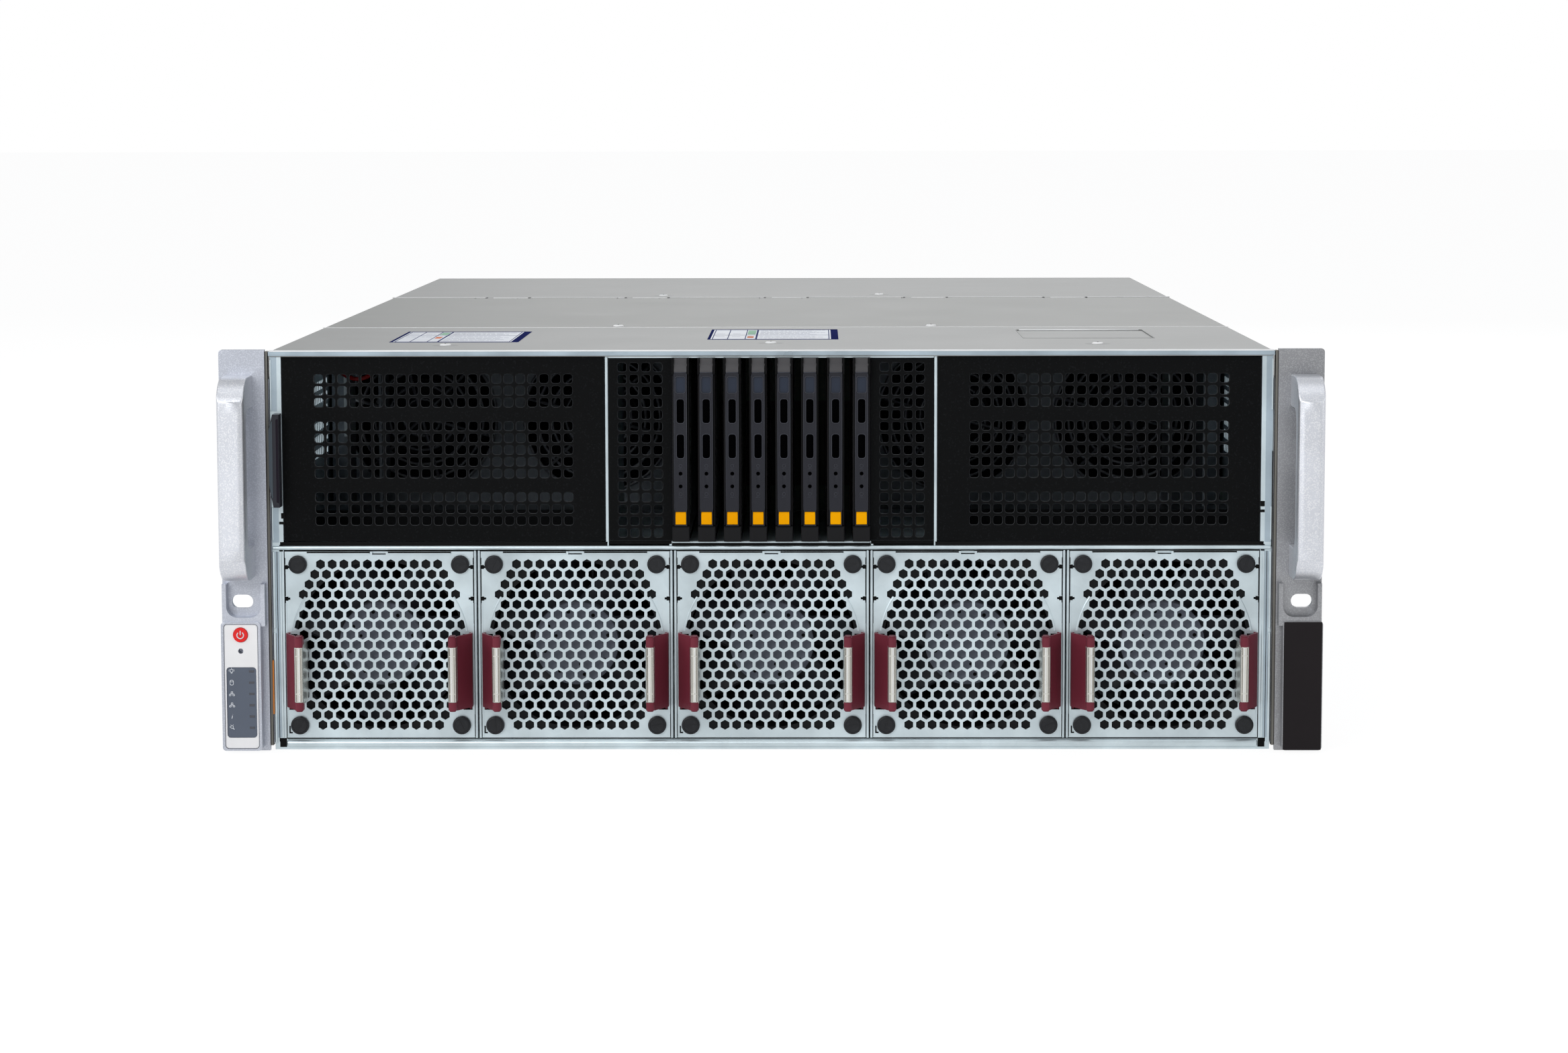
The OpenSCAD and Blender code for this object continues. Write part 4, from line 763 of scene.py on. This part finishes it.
for i in DRIVES:
    x0 = drive_x[i]
    lz = 99.7
    yf = -5.0
    g = Geo()
    # Raised rims round the finger slots and the window, moulded signs and two side lines, all in a grey lighter than
    # the lever as painted highlight
    for z in (lz + 50.4, lz + 35.0):
        g.tube([(x, yf, v) for x, v in rounded(x0, z, 3.5, 10.7, 1.25, 4)], 0.15, 6, closed=True)
    pts = [(x, yf - 0.02, z) for x, z in rounded(x0, lz + 61.9, 4.4, 7.2, 0.9, 3)]
    g.tube(pts, 0.14, 6, closed=True)
    g.box((x0 - 2.7, yf - 0.2, lz + 67.1), (x0 + 2.7, yf + 0.3, lz + 67.45))
    for z, w in ((lz + 26.4, 0.75), (lz + 14.0, 0.75)):
        g.tube([(x0 + w * math.cos(a), yf, z + w * math.sin(a)) for a in [2 * math.pi * j / 8 for j in range(8)]], 0.1, 5, closed=True)
        g.tube([(x0 - 1.0, yf, z - 1.3), (x0 + 1.0, yf, z - 1.3)], 0.1, 5)
    for sx in (-1, 1):
        g.tube([(x0 + sx * 2.75, yf + 0.02, lz + 7.0), (x0 + sx * 2.75, yf + 0.02, lz + 66.6)], 0.13, 6)
    g.piece(f"lever_trim_{i}", "lever_edge", f"drive_lever_{i}", smooth=True)
    # Near-black plates in the finger slots and discs in the lamp holes: painted shade of the unlit inside
    h = Geo()
    for z in (lz + 50.4, lz + 35.0):
        h.prism(rounded(x0, z, 3.3, 10.5, 1.15, 4), yf - 0.03, yf + 0.2)
    for z in (lz + 23.0, lz + 17.4):
        h.lathe((x0, yf - 0.03, z), [(0.82, 0.1), (0.82, 0.0), (0.3, -0.02)], "Y", 14)
    h.piece(f"lever_slot_and_lamp_shade_{i}", "void", f"drive_lever_{i}", smooth=True)
    c = Geo()
    # Outline of a head cap for the lever; it is built but never made into a piece
    c.prism([(-4.75, 167.4), (-1.6, 167.4), (-1.6, 172.9), (-2.6, 173.05), (-3.9, 172.2), (-4.6, 170.4)], x0 - 2.74, x0 + 2.74, axis="X")
    k = Geo()
    # Foot block and side rails of the bezel
    k.box((x0 - 3.55, -5.1, 93.2), (x0 + 3.55, -4.6, 98.9))
    for s in (-1, 1):
        k.box((x0 + s * 3.35 - 0.4, -1.6, 99.6), (x0 + s * 3.35 + 0.4, -0.98, 165.6))
    k.piece(f"bezel_trim_{i}", "black_plastic", f"drive_carrier_{i}", smooth=True, bevel=0.15)

# ---------------------------------------------------------------- ears

def film(name, cx, cz, w, h, r, y, mat, body="chassis", t=0.3, b=0.1):
    q = Geo()
    sheet(q, lambda o: rounded(cx, cz, w + 2 * o, h + 2 * o, r + o, 5), [], y - t, y, b)
    return q.piece(name, mat, body)


FACE = -9.6
q = Geo()
cx = -232.55
sheet(q, lambda o: rounded(cx, 29.5, 14.5 + 2 * o, 54.7 + 2 * o, 1.2 + o, 5),
      [lambda o: circle(cx - 0.1, 52.4, 3.3 + o, 32), lambda o: circle(cx - 0.1, 45.2, 1.15 + o, 20),
       lambda o: rounded(cx, 22.4, 13.1 + 2 * o, 31.3 + 2 * o, 1.5 + o, 5)], FACE - 0.28, FACE + 0.02, 0.08)
q.piece("ear_film_left", "panel_grey", "chassis")
film("lamp_window", cx, 22.4, 13.0, 31.2, 1.45, FACE + 0.35, "window", t=0.3)
film("ear_film_right", 232.55, 29.5, 16.7, 56.6, 0.35, -9.99, "label_black", t=0.25)
q = Geo()
for z in (36.2, 31.2, 26.2, 21.2, 16.2, 11.2):
    q.box((-229.3, FACE - 0.05, z - 0.5), (-227.0, FACE + 0.1, z + 0.5))
q.piece("status_lamps", "lamp", "chassis", bevel=0.05, smooth=True)
q = Geo()
# Plain signs beside the lamps: lamp, disk, two network ports, message, beacon
sx = -236.9
y = FACE + 0.02


def stroke(pts, r=0.15, closed=False):
    q.tube([(sx + a, y, z0 + b) for a, b in pts], r, 5, closed=closed)


z0 = 36.2
stroke([(0.7 * math.cos(t), 0.25 + 0.7 * math.sin(t)) for t in [2 * math.pi * j / 12 for j in range(12)]], closed=True)
stroke([(-0.35, -0.75), (0.35, -0.75)])
for t in (30, 90, 150, 0, 180):
    a = math.radians(t)
    stroke([(1.0 * math.cos(a), 0.25 + 1.0 * math.sin(a)), (1.35 * math.cos(a), 0.25 + 1.35 * math.sin(a))])
z0 = 31.2
stroke([(x, z) for x, z in rounded(0, 0, 1.5, 2.1, 0.5, 3)], closed=True)
stroke([(-0.7, 0.55), (0, 0.3), (0.7, 0.55)])
for z0 in (26.2, 21.2):
    for a, b in ((0, 0.7), (-0.8, -0.5), (0.8, -0.5)):
        stroke([(x, z) for x, z in rounded(a, b, 0.8, 0.6, 0.1, 2)], 0.13, True)
    stroke([(0, 0.4), (0, 0.05), (-0.8, 0.05), (-0.8, -0.2)])
    stroke([(0, 0.05), (0.8, 0.05), (0.8, -0.2)])
z0 = 16.2
stroke([(0.25, 0.95), (0.3, 1.0)], 0.2)
stroke([(0.12, 0.4), (-0.2, -0.95)], 0.17)
z0 = 11.2
stroke([(0.6 * math.cos(t) - 0.2, 0.3 + 0.6 * math.sin(t)) for t in [2 * math.pi * j / 12 for j in range(12)]], closed=True)
stroke([(0.25, -0.15), (0.85, -0.8)], 0.2)
for t in (60, 120, 180):
    a = math.radians(t)
    stroke([(-0.2 + 0.9 * math.cos(a), 0.3 + 0.9 * math.sin(a)), (-0.2 + 1.2 * math.cos(a), 0.3 + 1.2 * math.sin(a))])
q.piece("lamp_signs", "ink", "chassis")
# Sign on the power button
q = Geo()
by = -10.52
q.tube([(-232.65 + 1.45 * math.sin(math.radians(t)), by, 52.3 + 1.45 * math.cos(math.radians(t))) for t in range(35, 326, 15)], 0.26, 6)
q.tube([(-232.65, by, 52.4), (-232.65, by, 54.3)], 0.26, 6)
q.piece("power_sign", "ink", "power_button", smooth=True)
# Fine groove line round the left film
q = Geo()
for s in (-1, 1):
    if s < 0:
        q.tube([(x, FACE - 0.32, z) for x, z in rounded(s * 232.55, 29.5, 14.9, 55.1, 1.5, 5)], 0.14, 6, closed=True)
q.piece("film_edges", "ink_dark", "chassis")

# ---------------------------------------------------------------- covers: labels, screws, pressed field

def label(name, x0, y0, x1, y1, z, table, text, tints):
    """A bare paper label: dark border, ruled table, and short grey dashes for its lines."""
    q = Geo()
    q.box((x0, y0, z), (x1, y1, z + 0.08), 0)

    def bar(a, b, c, d, k, t):
        q.box((a, b, z + 0.08), (c, d, z + 0.08 + t), k)
    bar(x0, y0, x1, y0 + 3.0, 1, 0.05)
    bar(x0, y1 - 2.6, x1, y1, 1, 0.05)
    bar(x0, y0 + 3, x0 + 1.3, y1 - 2.6, 1, 0.05)
    bar(x1 - 3.4, y0 + 3, x1, y1 - 2.6, 1, 0.05)
    w, h = x1 - x0 - 6.5, y1 - y0 - 8.6
    for u0, v0, u1, v1 in table:
        a, b, c, d = x0 + 2.2 + u0 * w, y0 + 4.4 + v0 * h, x0 + 2.2 + u1 * w, y0 + 4.4 + v1 * h
        bar(a - 0.2, b - 0.45, c + 0.2, d + 0.45, 2, 0.03)
    for u0, v0, u1, v1, k in tints:
        bar(x0 + 2.2 + u0 * w, y0 + 4.4 + v0 * h, x0 + 2.2 + u1 * w, y0 + 4.4 + v1 * h, k, 0.015)
    for u0, v0, u1, v1 in text:
        a, b, c = x0 + 2.2 + u0 * w, y0 + 4.4 + v0 * h, x0 + 2.2 + u1 * w
        while a < c - 0.8:
            e = min(c, a + random.uniform(1.2, 4.5))
            bar(a, b - 0.5, e, b + 0.5, 3, 0.02)
            a = e + 0.5
    return q.piece(name, ["label_white", "label_blue", "label_line", "label_text", "green_tint", "orange_tint"], "chassis")


for name, x0, y0, x1, y1, mid in (("left", -173.5, 57, -115, 142, 0.62), ("mid", -30, 75, 30, 157, 0.42)):
    grid = [(0, 0, 1, 0), (0, 1, 1, 1), (0, 0, 0, 1), (1, 0, 1, 1), (0.13, 0, 0.13, 1), (0.28, 0, 0.28, 1), (0.37, 0, 0.37, 1), (0.378, 0, 0.378, 1), (0, mid, 1, mid)]
    lines = [(0.4, mid + 0.09 * k, 0.97 - 0.06 * (k % 3), 0) for k in range(1, int((0.96 - mid) / 0.09) + 1)]
    lines += [(0.4, 0.1 * k, 0.95 - 0.07 * (k % 2), 0) for k in range(1, int((mid - 0.03) / 0.1) + 1)]
    lines += [(a, b, a + 0.09, 0) for a in (0.02, 0.16) for b in (mid - 0.14, mid + 0.14)]
    label(f"cover_label_{name}", x0, y0, x1, y1, 176.5, grid, lines, [(0.29, mid + 0.06, 0.36, 0.94, 4), (0.295, mid - 0.3, 0.35, mid - 0.12, 5)])


def screw(q, x, y, z, r=2.6, axis="Z", h=0.9, k0=0, k1=1):
    """A low domed screw with a cross recess, standing on a face."""
    prof = [(r, 0.0), (r * 0.98, h * 0.35), (r * 0.8, h * 0.8), (r * 0.4, h)]
    # The cross recess is drawn as raised bars in material k1, which callers make near-black: painted shade of the
    # recess
    cross = ((-r * 0.55, -r * 0.12, r * 0.55, r * 0.12), (-r * 0.12, -r * 0.55, r * 0.12, r * 0.55))
    if axis == "Z":
        q.lathe((x, y, z), prof, "Z", 24, k0)
        for a, b, c, d in cross:
            q.box((x + a, y + b, z + h), (x + c, y + d, z + h + 0.03), k1)
    elif axis in ("Y", "-Y"):
        s = 1 if axis == "Y" else -1
        q.lathe((x, y, z), [(a, s * b) for a, b in prof], "Y", 24, k0)
        for a, b, c, d in cross:
            y0, y1 = sorted((y + s * h, y + s * (h + 0.03)))
            q.box((x + a, y0, z + b), (x + c, y1, z + d), k1)
    else:
        s = 1 if axis == "X" else -1
        q.lathe((x, y, z), [(a, s * b) for a, b in prof], "X", 24, k0)
        for a, b, c, d in cross:
            x0, x1 = sorted((x + s * h, x + s * (h + 0.03)))
            q.box((x0, y + a, z + b), (x1, y + c, z + d), k1)


def screws(name, spots, body, axis="Z", r=2.6, h=0.9):
    q = Geo()
    for x, y, z in spots:
        screw(q, x, y, z, r, axis, h)
        if axis == "Z":
            # A thin darker ring round each top screw: painted shade of the recess it sits in
            q.lathe((x, y, z), [(5.8, 0.0), (5.3, 0.06)], "Z", 28, 2)
    # Heads in the near-white colour: bright plated metal with painted highlight
    return q.piece(name, ["edge", "dark", "dimple"], body, smooth=True, split=True)


TOP = 176.5
screws("cover_screws_front", [(-145.7, 35, TOP), (-0.6, 49, TOP), (145.8, 42, TOP)], "chassis")
screws("cover_screws_mid", [(-76.4, 187, TOP), (75.7, 187, TOP)], "middle_cover")
screws("cover_screws_rear", [(-67, 500, TOP), (56, 512, TOP)], "rear_cover")
# Pressed field of the front cover: an eased rim
q = Geo()
q.tube([(x, y, 176.46) for x, y in rounded(145, 118, 60.2, 68.2, 1.5, 4)], 0.28, 6, closed=True)
q.piece("pressed_rim", "cover", "chassis", smooth=True)
# Near-white line along the pressed field's rear edge: painted highlight
q = Geo()
q.tube([(116.5, 151.8, 176.5), (173.5, 151.8, 176.5)], 0.4, 6)
q.piece("pressed_edge_highlight", "edge", "chassis", smooth=True)

# ---------------------------------------------------------------- identity card grip

q = Geo()
q.prism([(-219.2, 117.4), (-217.6, 109.2), (-214.9, 109.0), (-214.9, 148.2), (-217.6, 148.0), (-219.2, 142.6)], -8.35, -7.95)
# A lighter strip on the outer facet as painted highlight, a darker strip on the inner facet as painted shade
q.prism([(-219.1, 118.2), (-218.0, 112.4), (-217.5, 112.4), (-217.5, 146.0), (-218.0, 146.0), (-219.1, 142.0)], -8.6, -8.34, 1)
q.prism([(-216.0, 110.6), (-215.0, 110.2), (-215.0, 147.2), (-216.0, 146.8)], -8.5, -8.34, 2)
q.box((-219.15, -7.6, 120), (-218.9, -1.2, 140))
q.piece("card_grip", ["card_grip", "card_facet", "card_shade"], "id_card", bevel=0.15, smooth=True)

# ---------------------------------------------------------------- inside: guards, brackets, wire

MID = 90.1 + (175.2 - 90.1 - 1) / 2
g = Geo()
for i in FANS:
    x0 = fan_x[i]
    y = 187.4
    for r in (9, 16, 23, 30, 36.5):
        g.tube([(x0 + r * math.cos(t), y, MID + r * math.sin(t)) for t in [2 * math.pi * j / 36 for j in range(36)]], 0.7, 6, closed=True)
    for a in (0, 60, 120):
        t = math.radians(a + 45)
        g.tube([(x0 - 37 * math.cos(t), y - 1.2, MID - 37 * math.sin(t)), (x0 + 37 * math.cos(t), y - 1.2, MID + 37 * math.sin(t))], 0.8, 6)
g.piece("inner_guards", "guard", "chassis", smooth=True)
g = Geo()
for s in (-1, 1):
    x = s * 197
    for a, b, k in ((92.0, 126.0, 0), (126.0, 172.0, 1)):
        g.box((x - 9, 150, a), (x - 7.6, 184, b), k)
        g.box((x + 7.6, 150, a), (x + 9, 184, b), 0)
g.box((-216, 60, 90.3), (-74, 61.2, 100), 2)
g.box((74, 60, 90.3), (216, 61.2, 100), 2)
g.piece("inner_brackets", ["zinc_dark", "zinc", "fan_plastic"], "chassis")
g = Geo()
g.tube([(-206, 90, 167), (-198, 66, 163.2), (-193, 61, 160.9), (-190, 60, 159.9), (-187, 60, 159.8), (-184, 61, 160.8), (-180, 66, 163.6), (-173, 90, 168), (-168, 150, 170.5)], 1.0, 8)
g.piece("red_lead", "red_wire", "chassis", smooth=True)

# ---------------------------------------------------------------- sides and rear

for s in (-1, 1):
    spots = [(s * 219.5, y, z) for y in (60, 190, 330, 470, 610, 700) for z in (20, 150)]
    screws(f"side_screws_{'left' if s < 0 else 'right'}", spots, "chassis", "X" if s > 0 else "-X", 2.2, 0.6)
    q = Geo()
    for y in (90, 290, 500, 680):
        q.lathe((s * 219.5, y, 88), [(3.4, 0), (3.4, s * 1.2), (2.2, s * 1.25), (2.2, s * 2.6), (4.0, s * 2.65), (4.0, s * 3.2), (3.6, s * 3.35)], "X", 24)
    q.piece(f"rail_studs_{'left' if s < 0 else 'right'}", "steel", "chassis", smooth=True, split=True)
screws("rear_screws", [(x, 737, z) for x in (-210, 210) for z in (50, 168)] + [(x, 737, 50) for x in (-60, 90)], "chassis", "Y", 2.4, 0.7)
q = Geo()
for i in range(8):
    cx = -210.3 + 19 + 40.64 * i
    screw(q, cx + 12, 735.55, 166.5, 2.2, "Y", 0.8)
q.piece("card_screws", ["steel", "dark"], "chassis", smooth=True, split=True)
# Dark wire mesh behind the bracket slots of the cards
q = Geo()
for i in range(8):
    cx = -210.3 + 19 + 40.64 * i
    q.box((cx - 15.6, 733.6, 69.4), (cx + 15.6, 734.0, 158.6))
q.piece("card_mesh", "dark", "chassis")
q = Geo()
for k in range(4):
    px = -178.55 + 76.5 * k
    for r in (6, 10.5, 15):
        q.tube([(px + 16 + r * math.cos(t), 736.4, 21.5 + r * math.sin(t)) for t in [2 * math.pi * j / 28 for j in range(28)]], 0.5, 6, closed=True)
q.piece("supply_guards", "steel", "chassis", smooth=True)
q = Geo()
for k in range(4):
    px = -178.55 + 76.5 * k
    for a, b in ((-24.5, 17), (-8.5, 17), (-16.5, 23)):
        q.box((px + a - 1, 722, b - 3.2), (px + a + 1, 732, b + 3.2))
    q.prism([(px - 33.5, 34), (px - 31.5, 34), (px - 31.5, 36), (px - 33.5, 36)], 737.0, 737.5)
q.piece("supply_inlets", "fan_plastic", "chassis", bevel=0.2, smooth=True)

# ---------------------------------------------------------------- stage, lights, camera

floor = bpy.data.meshes.new("floor")
floor.from_pydata([(-30, -30, 0), (30, -30, 0), (30, 30, 0), (-30, 30, 0)], [], [(0, 1, 2, 3)])
floor_o = bpy.data.objects.new("floor", floor)
floor_o.location.z = -0.0004
scene.collection.objects.link(floor_o)
fm = bpy.data.materials.new("floor_white")
fm.use_nodes = True
nt = fm.node_tree
nt.nodes.clear()
out = nt.nodes.new("ShaderNodeOutputMaterial")
dif = nt.nodes.new("ShaderNodeBsdfDiffuse")
dif.inputs["Color"].default_value = (0.8, 0.8, 0.8, 1)
emi = nt.nodes.new("ShaderNodeEmission")
emi.inputs["Strength"].default_value = 1.12
lp = nt.nodes.new("ShaderNodeLightPath")
add = nt.nodes.new("ShaderNodeMixShader")
mx = nt.nodes.new("ShaderNodeMath")
mx.operation = "MULTIPLY"
mx.inputs[1].default_value = 0.82
g1 = nt.nodes.new("ShaderNodeMath")
g1.operation = "MAXIMUM"
nt.links.new(lp.outputs["Is Camera Ray"], g1.inputs[0])
nt.links.new(lp.outputs["Is Glossy Ray"], g1.inputs[1])
nt.links.new(g1.outputs[0], mx.inputs[0])
nt.links.new(mx.outputs[0], add.inputs["Fac"])
nt.links.new(dif.outputs[0], add.inputs[1])
nt.links.new(emi.outputs[0], add.inputs[2])
nt.links.new(add.outputs[0], out.inputs["Surface"])
floor.materials.append(fm)

world = bpy.data.worlds.new("studio")
scene.world = world
world.use_nodes = True
nt = world.node_tree
nt.nodes.clear()
out = nt.nodes.new("ShaderNodeOutputWorld")
lp = nt.nodes.new("ShaderNodeLightPath")
bg = nt.nodes.new("ShaderNodeBackground")
bg.inputs["Color"].default_value = (0.95, 0.97, 1.0, 1)
bg.inputs["Strength"].default_value = 0.42
bw = nt.nodes.new("ShaderNodeBackground")
bw.inputs["Color"].default_value = (1, 1, 1, 1)
bw.inputs["Strength"].default_value = 1.0
mxs = nt.nodes.new("ShaderNodeMixShader")
m1 = nt.nodes.new("ShaderNodeMath")
m1.operation = "MAXIMUM"
m2 = nt.nodes.new("ShaderNodeMath")
m2.operation = "MULTIPLY"
m2.inputs[1].default_value = 0.35
m3 = nt.nodes.new("ShaderNodeMath")
m3.operation = "MAXIMUM"
nt.links.new(lp.outputs["Is Glossy Ray"], m2.inputs[0])
nt.links.new(lp.outputs["Is Camera Ray"], m1.inputs[0])
nt.links.new(lp.outputs["Is Transmission Ray"], m1.inputs[1])
nt.links.new(m1.outputs[0], m3.inputs[0])
nt.links.new(m2.outputs[0], m3.inputs[1])
nt.links.new(m3.outputs[0], mxs.inputs["Fac"])
nt.links.new(bg.outputs[0], mxs.inputs[1])
nt.links.new(bw.outputs[0], mxs.inputs[2])
nt.links.new(mxs.outputs[0], out.inputs["Surface"])


def area(name, loc, aim, size, power, size_y=None, color=(1, 1, 1)):
    d = bpy.data.lights.new(name, "AREA")
    d.shape = "RECTANGLE"
    d.size, d.size_y = size, size_y or size
    d.energy = power
    d.color = color
    o = bpy.data.objects.new(name, d)
    o.location = loc
    o.rotation_euler = (Vector(aim) - Vector(loc)).to_track_quat("-Z", "Y").to_euler()
    scene.collection.objects.link(o)


area("key_front", (-0.9, -2.4, 1.2), (0, 0, 0.08), 1.4, 24, 1.0)
area("key_top", (0.0, -0.4, 2.3), (0, 0.2, 0.1), 2.0, 7, 1.4)
area("side_left", (-2.2, -0.8, 0.9), (0, 0.1, 0.1), 1.0, 9)
area("side_right", (2.2, -0.8, 0.9), (0, 0.1, 0.1), 1.0, 5)
area("rear", (0.3, 2.8, 1.4), (0, 0.5, 0.1), 1.6, 10)

FOCAL, YAW, PITCH, ROLL = 5560.70, -0.0082966, 0.1089338, -0.0017863
cam = bpy.data.cameras.new("camera")
cam.sensor_fit = "HORIZONTAL"
cam.sensor_width = 36.0
cam.lens = FOCAL * 36.0 / 2335
cam.clip_start, cam.clip_end = 0.05, 100
cam_o = bpy.data.objects.new("camera", cam)
fw = Vector((math.sin(YAW) * math.cos(PITCH), math.cos(YAW) * math.cos(PITCH), -math.sin(PITCH)))
rt = Vector((math.cos(YAW), -math.sin(YAW), 0))
up = rt.cross(fw)
r2 = rt * math.cos(ROLL) + up * math.sin(ROLL)
u2 = -rt * math.sin(ROLL) + up * math.cos(ROLL)
rot = Matrix((r2, u2, -fw)).transposed().to_4x4()
cam_o.matrix_world = Matrix.Translation((0.019088, -1.629554, 0.277127)) @ rot
scene.collection.objects.link(cam_o)
scene.camera = cam_o
scene.view_settings.view_transform = "Standard"
